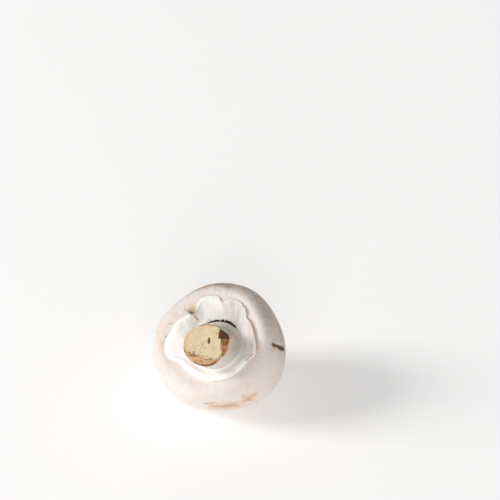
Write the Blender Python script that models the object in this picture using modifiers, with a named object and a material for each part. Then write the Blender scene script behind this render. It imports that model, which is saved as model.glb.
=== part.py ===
"""A white button mushroom, cut from its bed and lying on its cap with the cut stalk up.

The form is first built as it grew, in millimetres: the stalk's axis leaves the cap along
+Z, the dome's top is down at -Z and the cap's widest ring lies round the origin. One
section, drawn from the stalk's end over the veil and the cap's edge to the dome's top, is
turned round Z by a Screw modifier. Each of its points then moves to where the section
through its own angle has it. Boolean cutters make the cut stalk end, its chips and the
flat spot, and at last the whole is laid down on that spot and made real size in metres.
"""

import math

import bmesh
import bpy
import numpy as np
from mathutils import Matrix, Vector

MM = 0.001

# Resolution: columns round the axis
COLUMNS = 128

# Cap: radius of its widest ring, rise of the dome and drop to its edge
CAP_R = 20.76
DOME_H = 16.5
SKIRT_H = 11.0
DOME_FULLNESS = 2.2
SKIRT_FULLNESS = 2.25
MARGIN_R = 15.9
# How the cap's outline departs from a circle: (waves round it, size, angle of a crest)
CAP_WAVES = (
    (1, 0.022, 318.0),
    (2, 0.02, 26.0),
    (3, 0.021, 93.0),
    (4, 0.012, 79.0),
)

# Veil: its mean edge, and each lobe or notch of that edge (angle, half width, size)
VEIL_R = 13.95
VEIL_LOBES = (
    (359.0, 12.0, 1.45),
    (330.0, 16.0, 0.45),
    (252.0, 24.0, -1.5),
    (213.0, 11.0, 1.75),
    (195.0, 10.0, 0.45),
    (172.0, 14.0, -0.6),
    (143.0, 11.0, -2.2),
    (105.0, 9.0, 0.25),
    (87.5, 5.0, -1.6),
    (64.0, 12.0, 0.3),
    (46.0, 5.0, -0.75),
)
# How high the torn edge stands over the cap's edge, and where it stands more or less
LIP_H = 0.8
LIP_LOBES = (
    (270.0, 50.0, 0.25),
    (0.0, 16.0, 0.2),
    (195.0, 26.0, -0.45),
    (144.0, 13.0, -0.75),
    (87.5, 5.0, -0.5),
    (46.0, 5.0, -0.35),
)
LIP_LEAST = 0.05
# The tear that splits the veil down to the stalk
TEAR_ANGLE = 144.0
TEAR_WIDTH = 12.0
TEAR_DEPTH = 0.7

# Stalk: foot on the veil, lean towards its end, radius at its end and flare at its foot
FOOT = (1.85, -1.7, 8.9)
FOOT_R = 8.25
LEAN = (0.066, -0.229)
STALK_R = 6.8
FLARE = 1.45
FLARE_RUN = 1.9
STALK_LOBES = (
    (36.0, 15.0, 0.11),
    (120.0, 38.0, -0.055),
    (215.0, 30.0, 0.015),
    (322.0, 14.0, -0.035),
)
STALK_RINGS = (26.0, 23.0, 20.0, 17.0, 14.6, 12.8, 11.4, 10.3, 9.5)

# Crease round the stalk's foot, and the open slot between veil and stalk in it
CREASE_WIDE = 0.3
CREASE_DEEP = 0.35
SLOT_FROM = 66.0
SLOT_TO = 122.0
SLOT_WIDE = 0.42
SLOT_DEEP = 4.2

# Cut end of the stalk: its height on the axis, and the worn facets round its edge, each
# as (name, angle it faces, distance from the end's centre, slope)
END_Z = 22.5
FACETS = (
    ("chip_cut", 18.6, 5.0, 46.0),
    ("bevel_left_cut", 264.6, 4.25, 36.0),
    ("bevel_right_cut", 289.0, 4.4, 30.0),
)
# Broken notch at the upper end of the chip: centre, size and slope of its floor
NOTCH_AT = (5.9, 5.35)
NOTCH_SIZE = (5.0, 4.8)
NOTCH_DEEP = 1.5
NOTCH_SLOPE = 28.0
# Split in the cut face
SPLIT_AT = (0.9, 1.53)
SPLIT_ANGLE = 103.0
SPLIT_LONG = 1.9
SPLIT_WIDE = 0.65
SPLIT_DEEP = 3.0

# Nick in the cap's side: angle, height, length down the side, width, depth and the tilt
# of the side there
NICK_ANGLE = 10.5
NICK_Z = 5.2
NICK_LONG = 8.6
NICK_WIDE = 1.5
NICK_DEEP = 0.65
NICK_TILT = 14.0

# How it lies: lean of the grown axis from upright, and the flat spot's distance from
# the centre of the cap's widest ring
LIE_ANGLE = 39.2
REST_OUT = 17.78


def bump(phi, centre, width):
    """A smooth hump of height 1 round an angle in degrees."""
    off = (np.degrees(phi) - centre + 180.0) % 360.0 - 180.0
    return np.exp(-((off / width) ** 2))


def lobed(phi, base, lobes):
    """A length round the axis: a base value and its lobes."""
    value = base + 0.0 * phi
    for centre, width, size in lobes:
        value = value + size * bump(phi, centre, width)
    return value


def cap_radius(phi):
    """Radius of the cap's widest ring."""
    scale = 1.0 + 0.0 * phi
    for waves, size, crest in CAP_WAVES:
        scale = scale + size * np.cos(waves * (phi - math.radians(crest)))
    return CAP_R * scale


def lip_height(phi):
    """Height of the veil's torn edge over the cap's edge."""
    return np.maximum(lobed(phi, LIP_H, LIP_LOBES), LIP_LEAST)


def slot_open(phi):
    """How far the slot at the stalk's foot is open: 0 shut to 1 open."""
    angle = np.degrees(phi) % 360.0
    opens = 1.0 / (1.0 + np.exp((SLOT_FROM - angle) / 2.5))
    closes = 1.0 / (1.0 + np.exp((angle - SLOT_TO) / 4.5))
    return opens * closes


def fullness(angle, power):
    """Stretch that turns a quarter circle into a fuller quarter curve."""
    return (np.sin(angle) ** power + np.cos(angle) ** power) ** (-1.0 / power)


def stalk_rings(phi):
    """Rings of the stalk from its end to its foot, as (radius, z, centre x, centre y)."""
    rings = []
    for z in STALK_RINGS:
        up = z - FOOT[2]
        radius = STALK_R + FLARE * math.exp(-up / FLARE_RUN)
        lobes = lobed(phi, 0.0, STALK_LOBES) * min(max(up / 6.0, 0.2), 1.0)
        centre = (FOOT[0] + LEAN[0] * up, FOOT[1] + LEAN[1] * up)
        rings.append((radius * (1.0 + lobes), z, *centre))
    return rings


def crease_rings(phi):
    """Rings of the crease round the stalk's foot, with the slot in it."""
    slot = slot_open(phi)
    wide = CREASE_WIDE + SLOT_WIDE * slot
    deep = CREASE_DEEP + SLOT_DEEP * slot
    foot_x, foot_y, foot_z = FOOT
    return [
        (FOOT_R + 0.0 * phi, foot_z - 0.1, foot_x, foot_y),
        (FOOT_R - 0.05 - 0.25 * slot, foot_z - 0.05 - 0.9 * deep, foot_x, foot_y),
        (FOOT_R + 0.1 + 0.5 * slot, foot_z - deep, foot_x, foot_y),
        (FOOT_R + 0.22 + 1.6 * slot, foot_z - 0.05 - 0.8 * deep, foot_x, foot_y),
        (FOOT_R + wide + 0.25 * slot, foot_z - 0.02 - 0.45 * slot, foot_x, foot_y),
        (FOOT_R + wide, foot_z + 0.08 + 0.1 * slot, foot_x, foot_y),
    ]


def veil_rings(phi):
    """Rings of the veil from the stalk's foot out to its torn edge."""
    slot = slot_open(phi)
    edge = lobed(phi, VEIL_R, VEIL_LOBES)
    lip = lip_height(phi)
    tear = TEAR_DEPTH * bump(phi, TEAR_ANGLE, TEAR_WIDTH)
    inner_r = FOOT_R + CREASE_WIDE + SLOT_WIDE * slot + 0.3
    inner_z = FOOT[2] + 0.25
    outer_r = edge - 1.15
    outer_z = SKIRT_H + 0.82 * lip - 0.1
    rings = []
    for part in (0.0, 0.2, 0.42, 0.64, 0.84):
        radius = inner_r + (outer_r - inner_r) * part
        rise = 0.35 * part + 0.65 * part**1.9
        dip = tear * math.sin(math.pi * part) ** 0.8
        z = inner_z + (outer_z - inner_z) * rise - dip
        rings.append((radius, z, FOOT[0] * (1.0 - part), FOOT[1] * (1.0 - part)))
    rings.append((outer_r, outer_z - 0.3 * tear, 0.0, 0.0))
    rings.append((edge - 0.6, SKIRT_H + 0.98 * lip, 0.0, 0.0))
    rings.append((edge - 0.25, SKIRT_H + lip, 0.0, 0.0))
    rings.append((edge, SKIRT_H + 0.72 * lip, 0.0, 0.0))
    rings.append((edge + 0.12, SKIRT_H - 0.12, 0.0, 0.0))
    return rings


def cap_rings(phi):
    """Rings of the cap from under the veil's edge over the skirt to the dome's top."""
    edge = lobed(phi, VEIL_R, VEIL_LOBES)
    margin = MARGIN_R + 0.35 * (edge - VEIL_R)
    widest = cap_radius(phi)
    rings = [(edge + 0.55 * (margin - edge), SKIRT_H - 0.12, 0.0, 0.0)]
    for degrees in (90.0, 78.0, 66.0, 54.0, 42.0, 30.0, 19.0, 9.0):
        angle = math.radians(degrees)
        full = fullness(angle, SKIRT_FULLNESS)
        radius = margin + (widest - margin) * full * math.cos(angle)
        rings.append((radius, SKIRT_H * full * math.sin(angle), 0.0, 0.0))
    for degrees in (90.0, 81.0, 72.0, 63.0, 54.0, 45.0, 36.5, 28.0, 20.0, 12.5, 6.0):
        angle = math.radians(degrees)
        full = fullness(angle, DOME_FULLNESS)
        radius = widest * full * math.sin(angle)
        rings.append((radius, -DOME_H * full * math.cos(angle), 0.0, 0.0))
    return rings


def section(phi):
    """The whole section at the given angles: x, y and z in mm, one row for each ring."""
    rings = stalk_rings(phi) + crease_rings(phi) + veil_rings(phi) + cap_rings(phi)
    first = STALK_RINGS[0] - FOOT[2]
    end = (FOOT[0] + LEAN[0] * first, FOOT[1] + LEAN[1] * first)
    rings = [(0.0 * phi, STALK_RINGS[0], *end)] + rings + [(0.0 * phi, -DOME_H, 0.0, 0.0)]
    radius = np.array([ring[0] for ring in rings])
    z = np.array([ring[1] + 0.0 * phi for ring in rings])
    x = np.array([ring[2] + ring[0] * np.cos(phi) for ring in rings])
    y = np.array([ring[3] + ring[0] * np.sin(phi) for ring in rings])
    return radius, np.stack([x, y, z], axis=-1)


def linked(name, mesh, collection):
    """A new object in a collection."""
    obj = bpy.data.objects.new(name, mesh)
    collection.objects.link(obj)
    return obj


def turned_body(collection):
    """The mean section turned round Z, each of its points moved onto its own section."""
    phi = np.arange(COLUMNS) * (2.0 * math.pi / COLUMNS)
    radius, points = section(phi)
    profile = np.stack([radius.mean(axis=1), points[..., 2].mean(axis=1)], axis=-1)
    mesh = bpy.data.meshes.new("section")
    verts = [(r, 0.0, z) for r, z in profile]
    mesh.from_pydata(verts, [(i, i + 1) for i in range(len(verts) - 1)], [])
    line = linked("section", mesh, collection)
    screw = line.modifiers.new("turn", "SCREW")
    screw.axis = "Z"
    screw.angle = math.radians(360.0)
    screw.steps = COLUMNS
    screw.render_steps = COLUMNS
    screw.use_merge_vertices = True
    screw.merge_threshold = 0.0001
    graph = bpy.context.evaluated_depsgraph_get()
    body = bpy.data.meshes.new_from_object(line.evaluated_get(graph))
    body.name = "mushroom"
    bpy.data.objects.remove(line)
    move_to_sections(body, profile, points)
    return linked("mushroom", body, collection)


def move_to_sections(body, profile, points):
    """Moves each vertex of the turned body to the section through its own angle."""
    for vertex in body.vertices:
        x, y, z = vertex.co
        off = np.abs(profile - (math.hypot(x, y), z)).sum(axis=1)
        ring = int(np.argmin(off))
        column = round(math.atan2(y, x) / (2.0 * math.pi) * COLUMNS) % COLUMNS
        vertex.co = points[ring, column]


def block(name, size, collection):
    """A box whose lower face lies on its own XY plane, centred on Z."""
    mesh = bpy.data.meshes.new(name)
    x, y, z = (size[0] / 2.0, size[1] / 2.0, size[2])
    floor = [(-x, -y, 0.0), (x, -y, 0.0), (x, y, 0.0), (-x, y, 0.0)]
    roof = [(a, b, z) for a, b, _ in floor]
    faces = [(3, 2, 1, 0), (4, 5, 6, 7)]
    faces += [(i, (i + 1) % 4, (i + 1) % 4 + 4, i + 4) for i in range(4)]
    mesh.from_pydata(floor + roof, [], faces)
    return linked(name, mesh, collection)


def end_frame():
    """Placing of the stalk's cut end: origin at its centre, Z along the stalk."""
    up = END_Z - FOOT[2]
    at = Vector((FOOT[0] + LEAN[0] * up, FOOT[1] + LEAN[1] * up, END_Z))
    axis_z = Vector((LEAN[0], LEAN[1], 1.0)).normalized()
    axis_x = (Vector((1.0, 0.0, 0.0)) - axis_z * axis_z.x).normalized()
    axis_y = axis_z.cross(axis_x)
    turn = Matrix((axis_x, axis_y, axis_z)).transposed().to_4x4()
    return Matrix.Translation(at) @ turn


def facet_cut(name, angle, out, slope, collection):
    """A block that takes the stalk's edge off beyond a line on its end."""
    cutter = block(name, (16.0, 16.0, 12.0), collection)
    turn = Matrix.Rotation(math.radians(angle), 4, "Z")
    lean = Matrix.Rotation(math.radians(slope), 4, "Y")
    cutter.data.transform(end_frame() @ turn @ Matrix.Translation((out, 0.0, 0.0)) @ lean)
    return cutter


def notch_cut(collection):
    """A block for the broken notch at the chip's upper end."""
    cutter = block("notch_cut", (*NOTCH_SIZE, 8.0), collection)
    at = Matrix.Translation((*NOTCH_AT, -NOTCH_DEEP))
    lean = Matrix.Rotation(math.radians(NOTCH_SLOPE), 4, "Y")
    cutter.data.transform(end_frame() @ at @ lean)
    return cutter


def split_cut(collection):
    """A thin block for the split in the cut face."""
    cutter = block("split_cut", (SPLIT_LONG, SPLIT_WIDE, 2.0 * SPLIT_DEEP), collection)
    spin = Matrix.Rotation(math.radians(SPLIT_ANGLE), 4, "Z")
    at = Matrix.Translation((*SPLIT_AT, -SPLIT_DEEP))
    cutter.data.transform(end_frame() @ at @ spin)
    return cutter


def nick_cut(collection):
    """A small ball, drawn out down the cap's side, for the nick in it."""
    shape = bmesh.new()
    bmesh.ops.create_icosphere(shape, subdivisions=2, radius=1.0)
    mesh = bpy.data.meshes.new("nick_cut")
    shape.to_mesh(mesh)
    shape.free()
    cutter = linked("nick_cut", mesh, collection)
    phi = np.array([math.radians(NICK_ANGLE)])
    edge = lobed(phi, VEIL_R, VEIL_LOBES)
    margin = MARGIN_R + 0.35 * (edge - VEIL_R)
    part = (1.0 - (NICK_Z / SKIRT_H) ** SKIRT_FULLNESS) ** (1.0 / SKIRT_FULLNESS)
    radius = float((margin + (cap_radius(phi) - margin) * part)[0])
    turn = Matrix.Rotation(math.radians(NICK_ANGLE), 4, "Z")
    tilt = Matrix.Rotation(math.radians(-NICK_TILT), 4, "Y")
    at = Matrix.Translation((radius, 0.0, NICK_Z))
    size = Matrix.Diagonal((NICK_DEEP, NICK_WIDE / 2.0, NICK_LONG / 2.0, 1.0))
    cutter.data.transform(turn @ at @ tilt @ size)
    return cutter


def rest_cut(collection):
    """A block under the dome that leaves the flat spot it lies on."""
    cutter = block("rest_cut", (40.0, 40.0, 10.0), collection)
    face_down = Matrix.Rotation(math.radians(180.0 - LIE_ANGLE), 4, "X")
    cutter.data.transform(face_down @ Matrix.Translation((0.0, 0.0, REST_OUT)))
    return cutter


def add_cuts(body, cutters):
    """Takes the cutters out of the body, one Boolean modifier each."""
    top = block("end_cut", (24.0, 24.0, 8.0), cutters)
    top.data.transform(end_frame())
    cuts = [top]
    cuts += [facet_cut(*facet, cutters) for facet in FACETS]
    cuts += [notch_cut(cutters), split_cut(cutters), nick_cut(cutters), rest_cut(cutters)]
    for cutter in cuts:
        cutter.hide_render = True
        cutter.display_type = "WIRE"
        cut = body.modifiers.new(cutter.name, "BOOLEAN")
        cut.operation = "DIFFERENCE"
        cut.solver = "EXACT"
        cut.object = cutter
    return cuts


def lay_down(body, cuts):
    """Lays the grown form on its flat spot, centres it and makes it real size."""
    pose = Matrix.Scale(MM, 4) @ Matrix.Rotation(math.radians(LIE_ANGLE), 4, "X")
    for obj in [body, *cuts]:
        obj.data.transform(pose)
        obj.data.update()
    graph = bpy.context.evaluated_depsgraph_get()
    graph.update()
    cut = body.evaluated_get(graph).to_mesh()
    points = np.array([vertex.co[:] for vertex in cut.vertices])
    low, high = points.min(axis=0), points.max(axis=0)
    shift = Matrix.Translation((-(low[0] + high[0]) / 2.0, -(low[1] + high[1]) / 2.0, -low[2]))
    for obj in [body, *cuts]:
        obj.data.transform(shift)
        obj.data.update()


def flesh_material():
    """The white flesh of the mushroom."""
    material = bpy.data.materials.new("mushroom flesh")
    material.use_nodes = True
    shader = material.node_tree.nodes["Principled BSDF"]
    shader.inputs["Base Color"].default_value = (0.82, 0.76, 0.69, 1.0)
    shader.inputs["Roughness"].default_value = 0.62
    shader.inputs["Metallic"].default_value = 0.0
    return material


def main():
    """Builds the mushroom in its own collection, its cutters in another."""
    for obj in list(bpy.data.objects):
        bpy.data.objects.remove(obj)
    parts = bpy.data.collections.new("button mushroom")
    cutters = bpy.data.collections.new("cutters")
    bpy.context.scene.collection.children.link(parts)
    bpy.context.scene.collection.children.link(cutters)
    body = turned_body(parts)
    body.data.materials.append(flesh_material())
    body.data.polygons.foreach_set("use_smooth", [True] * len(body.data.polygons))
    cuts = add_cuts(body, cutters)
    lay_down(body, cuts)


if __name__ == "__main__":
    main()
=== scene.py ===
"""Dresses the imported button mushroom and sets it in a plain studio.

The mushroom is built as it grew, in millimetres: the stalk's axis leaves the cap along +Z,
the dome's top is down at -Z and the cap's widest ring lies round the origin. Cap, veil and
stalk are grids of rings round that axis. They follow the solid's own section, with the fine
relief that the solid leaves out, and are then laid down as the solid lies, in metres.
"""

import logging
import math
from dataclasses import dataclass
from enum import Enum

import bmesh
import bpy
import numpy as np
from mathutils import Matrix, Vector


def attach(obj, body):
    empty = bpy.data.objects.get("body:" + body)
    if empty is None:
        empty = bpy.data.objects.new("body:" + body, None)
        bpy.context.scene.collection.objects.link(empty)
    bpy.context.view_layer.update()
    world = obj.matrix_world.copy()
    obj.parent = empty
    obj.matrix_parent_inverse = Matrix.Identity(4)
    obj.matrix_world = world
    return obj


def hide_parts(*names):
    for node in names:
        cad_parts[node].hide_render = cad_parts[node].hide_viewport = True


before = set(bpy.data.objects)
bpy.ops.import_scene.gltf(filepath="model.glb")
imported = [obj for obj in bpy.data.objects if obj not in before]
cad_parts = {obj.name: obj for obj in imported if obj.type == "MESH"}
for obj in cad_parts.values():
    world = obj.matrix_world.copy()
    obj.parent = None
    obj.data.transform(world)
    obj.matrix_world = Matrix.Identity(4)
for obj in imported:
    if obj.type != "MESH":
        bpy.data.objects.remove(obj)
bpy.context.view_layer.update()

LOG = logging.getLogger("button_mushroom")
MM = 0.001

Colour = tuple[float, float, float, float]
Value = bpy.types.NodeSocket | float
Paint = bpy.types.NodeSocket | Colour
Masks = dict[str, np.ndarray]
Corners = tuple[tuple[float, float], ...]
Ring = tuple[np.ndarray, np.ndarray, np.ndarray | float, np.ndarray | float]

# Large odd numbers that scatter the noise's corners
HASH = (374761393, 668265263, 1442695041)
HASH_SEED = 974634777
HASH_MIX = 1274126177


# How it lies


@dataclass(frozen=True)
class Pose:
    """How the grown mushroom is laid down on its flat spot, as the solid is."""

    lie_angle: float = 39.2
    shift: tuple[float, float, float] = (-0.4077, 0.4562, 17.78)
    settle: float = 0.12
    sink: float = 0.02

    def to_world(self, points: np.ndarray) -> np.ndarray:
        """Lays grown points down and makes them metres.

        Args:
            points: Points as grown, in mm, with x, y and z in the last axis.

        Returns:
            The same points in the shared frame, in metres, none under the floor.
        """
        lean = math.radians(self.lie_angle)
        x, y, z = points[..., 0], points[..., 1], points[..., 2]
        laid = np.stack(
            [
                x,
                y * math.cos(lean) - z * math.sin(lean),
                y * math.sin(lean) + z * math.cos(lean),
            ],
            axis=-1,
        )
        laid = laid + np.array(self.shift)
        high = laid[..., 2]
        laid[..., 2] = 0.5 * (high + np.sqrt(high * high + self.settle**2)) - self.sink
        laid[..., 2] = np.maximum(laid[..., 2], 0.0)
        return laid * MM


# Shapes round an axis


@dataclass(frozen=True)
class Lobe:
    """A hump or hollow round the axis: where it is, its half width and its size."""

    angle: float
    width: float
    size: float

    def at(self, phi: np.ndarray) -> np.ndarray:
        """The lobe's size at the given angles."""
        off = (np.degrees(phi) - self.angle + 180.0) % 360.0 - 180.0
        return self.size * bell(off, 0.0, self.width)


def lobed(phi: np.ndarray, base: float, lobes: tuple[Lobe, ...]) -> np.ndarray:
    """A length round the axis.

    Args:
        phi: Angles round the axis.
        base: The length where no lobe reaches.
        lobes: What is added to it.

    Returns:
        The length at each angle.
    """
    return base + 0.0 * phi + sum(lobe.at(phi) for lobe in lobes)


def drawn_round(phi: np.ndarray, corners: Corners, soft: float) -> np.ndarray:
    """A length round the axis that runs through given corners, each rounded over.

    Args:
        phi: Angles round the axis.
        corners: Each corner's angle in degrees and its length.
        soft: How many degrees to each side a corner is rounded over.

    Returns:
        The length at each angle.
    """
    turn = np.degrees(phi)
    places = [corner[0] for corner in corners]
    lengths = [corner[1] for corner in corners]
    total = 0.0 * phi
    weights = 0.0
    for step in np.linspace(-1.0, 1.0, 13):
        weight = 1.08 - step * step
        total = total + weight * np.interp(turn + soft * step, places, lengths, period=360.0)
        weights += weight
    return total / weights


def ease(value: np.ndarray, low: float, high: float) -> np.ndarray:
    """A smooth step from 0 at low to 1 at high, which may be the lower number."""
    part = np.clip((value - low) / (high - low), 0.0, 1.0)
    return part * part * (3.0 - 2.0 * part)


def bell(value: np.ndarray, middle: np.ndarray | float, width: float) -> np.ndarray:
    """A smooth hump of height 1 at the middle that falls off over the width."""
    return np.exp(-(((value - middle) / width) ** 2))


def signed_degrees(phi: np.ndarray) -> np.ndarray:
    """The columns' angles from -180 to 180 degrees, as one row."""
    return (np.degrees(phi)[None] + 180.0) % 360.0 - 180.0


def ring_points(
    phi: np.ndarray,
    radius: np.ndarray | float,
    height: np.ndarray | float,
    centre: tuple[np.ndarray | float, np.ndarray | float] = (0.0, 0.0),
) -> np.ndarray:
    """Points of one ring round an upright axis.

    Args:
        phi: Angles round the axis.
        radius: The ring's radius.
        height: Its height.
        centre: Where the axis stands.

    Returns:
        The points, with x, y and z in the last axis.
    """
    x = centre[0] + radius * np.cos(phi)
    y = centre[1] + radius * np.sin(phi)
    return np.stack([x, y, height + 0.0 * phi], axis=-1)


def value_noise(points: np.ndarray, cell: float, seed: int) -> np.ndarray:
    """Smooth noise in space, the same on each run.

    Args:
        points: Points with x, y and z in the last axis.
        cell: Size of one wave.
        seed: Picks one pattern.

    Returns:
        A value from -1 to 1 at each point.
    """
    place = points / cell
    corner = np.floor(place).astype(np.int64)
    part = place - corner
    part = part * part * (3.0 - 2.0 * part)
    total = np.zeros(points.shape[:-1])
    for step in range(8):
        bits = np.array([step & 1, (step >> 1) & 1, (step >> 2) & 1])
        at = corner + bits
        mixed = at[..., 0] * HASH[0] + at[..., 1] * HASH[1] + at[..., 2] * HASH[2]
        mixed = (mixed + seed * HASH_SEED) & 0xFFFFFFFF
        mixed = ((mixed ^ (mixed >> 13)) * HASH_MIX) & 0xFFFFFFFF
        height = ((mixed ^ (mixed >> 16)) & 0xFFFF) / 32767.5 - 1.0
        weight = np.prod(np.where(bits == 1, part, 1.0 - part), axis=-1)
        total = total + height * weight
    return total


def rough(points: np.ndarray, cell: float, seed: int, octaves: int = 3) -> np.ndarray:
    """Noise of several sizes, each half as large and half as strong as the last.

    Args:
        points: Points with x, y and z in the last axis.
        cell: Size of the largest waves.
        seed: Picks one pattern.
        octaves: How many sizes there are.

    Returns:
        A value from about -2 to 2 at each point.
    """
    total = np.zeros(points.shape[:-1])
    for step in range(octaves):
        total = total + value_noise(points, cell * 0.5**step, seed + 17 * step) * 0.5**step
    return total


def drawn_through(rings: np.ndarray, counts: tuple[int, ...]) -> np.ndarray:
    """Draws a smooth section through control rings, with no overshoot.

    Args:
        rings: Control rings, as ring, column and x, y, z.
        counts: How many rings each gap between two control rings is cut into.

    Returns:
        The finer rings, the first and last of them as given.
    """
    span = np.diff(rings, axis=0)
    length = np.maximum(np.linalg.norm(span, axis=-1, keepdims=True), 1e-6)
    slope = span / length
    before, after = slope[:-1], slope[1:]
    same = before * after > 0.0
    left = 2.0 * length[1:] + length[:-1]
    right = length[1:] + 2.0 * length[:-1]
    safe_before = np.where(same, before, 1.0)
    safe_after = np.where(same, after, 1.0)
    middle = (left + right) / (left / safe_before + right / safe_after)
    tangent = np.concatenate([slope[:1], np.where(same, middle, 0.0), slope[-1:]])
    fine = []
    for gap, count in enumerate(counts):
        for step in range(count):
            t = step / count
            run = length[gap]
            fine.append(
                (2 * t**3 - 3 * t**2 + 1) * rings[gap]
                + (t**3 - 2 * t**2 + t) * run * tangent[gap]
                + (3 * t**2 - 2 * t**3) * rings[gap + 1]
                + (t**3 - t**2) * run * tangent[gap + 1]
            )
    fine.append(rings[-1])
    return np.stack(fine)


def normals(grid: np.ndarray) -> np.ndarray:
    """Outward normals of a closed ring grid whose rings run down its outer side.

    Args:
        grid: The grid's points, as ring, column and x, y, z.

    Returns:
        A unit normal for each point.
    """
    along = np.gradient(grid, axis=0)
    around = np.roll(grid, -1, axis=1) - np.roll(grid, 1, axis=1)
    normal = np.cross(along, around)
    size = np.maximum(np.linalg.norm(normal, axis=-1, keepdims=True), 1e-9)
    return normal / size


def angles(columns: int) -> np.ndarray:
    """The angles of so many columns round the axis."""
    return np.arange(columns) * (2.0 * math.pi / columns)


# Marks on the skin


class MarkKind(Enum):
    """What a mark on the flesh is; the same tones also carry painted shade."""

    TAN = "tan"
    BROWN = "brown"
    GREY = "grey"
    BLUSH = "blush"


def path_distance(points: np.ndarray, corners: np.ndarray) -> np.ndarray:
    """How far points are from a path.

    Args:
        points: Points in a plane or in space.
        corners: The path's corners, of as many coordinates.

    Returns:
        The distance of each point to the nearest part of the path.
    """
    nearest = np.linalg.norm(points - corners[0], axis=-1)
    for start, end in zip(corners[:-1], corners[1:]):
        run = end - start
        part = np.clip(((points - start) @ run) / (run @ run), 0.0, 1.0)
        off = np.linalg.norm(points - start - part[..., None] * run, axis=-1)
        nearest = np.minimum(nearest, off)
    return nearest


@dataclass(frozen=True)
class Mark:
    """A stain, scratch or band of painted shade along a path of points, each as (angle, radius,
    height).

    Its edge is ragged, and fades from its half width in to the share called soft.
    """

    kind: MarkKind
    path: tuple[tuple[float, float, float], ...]
    half_width: float
    strength: float
    ragged: float = 0.35
    soft: float = 0.35

    def corners(self) -> np.ndarray:
        """The path in space.

        Returns:
            Its points in mm.
        """
        turn = np.radians([corner[0] for corner in self.path])
        radius = np.array([corner[1] for corner in self.path])
        height = np.array([corner[2] for corner in self.path])
        return ring_points(turn, radius, height)

    def mask(self, points: np.ndarray) -> np.ndarray:
        """How strongly the mark shows, with height counted less.

        Args:
            points: Points on the flesh.

        Returns:
            A value from 0 to 1 at each point.
        """
        squash = np.array([1.0, 1.0, 0.5])
        cell = max(self.half_width * 0.9, 0.3)
        off = path_distance(points * squash, self.corners() * squash) / self.half_width
        off = off + self.ragged * rough(points, cell, 401, 3)
        return self.strength * ease(off, 1.0, self.soft)


@dataclass(frozen=True)
class EndMark:
    """A stain on the cut end, along a path of (across, up) points."""

    kind: MarkKind
    path: Corners
    half_width: float
    strength: float
    ragged: float = 0.35
    soft: float = 0.0

    def mask(self, points: np.ndarray) -> np.ndarray:
        """How strongly the mark shows on the end.

        Args:
            points: Places on the end, as across, up and 0.

        Returns:
            A value from 0 to 1 at each place.
        """
        off = path_distance(points[..., :2], np.array(self.path)) / self.half_width
        off = off + self.ragged * rough(points, max(self.half_width, 0.25), 503, 3)
        return self.strength * ease(off, 1.0, self.soft)


def mark_masks(points: np.ndarray, marks: list[Mark] | list[EndMark]) -> Masks:
    """Gathers marks into one mask for each kind.

    Args:
        points: Points on the flesh.
        marks: The marks.

    Returns:
        The masks, named as the finishes read them.
    """
    masks = {kind.value: np.zeros(points.shape[:-1]) for kind in MarkKind}
    for mark in marks:
        masks[mark.kind.value] = np.maximum(masks[mark.kind.value], mark.mask(points))
    return masks


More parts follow.
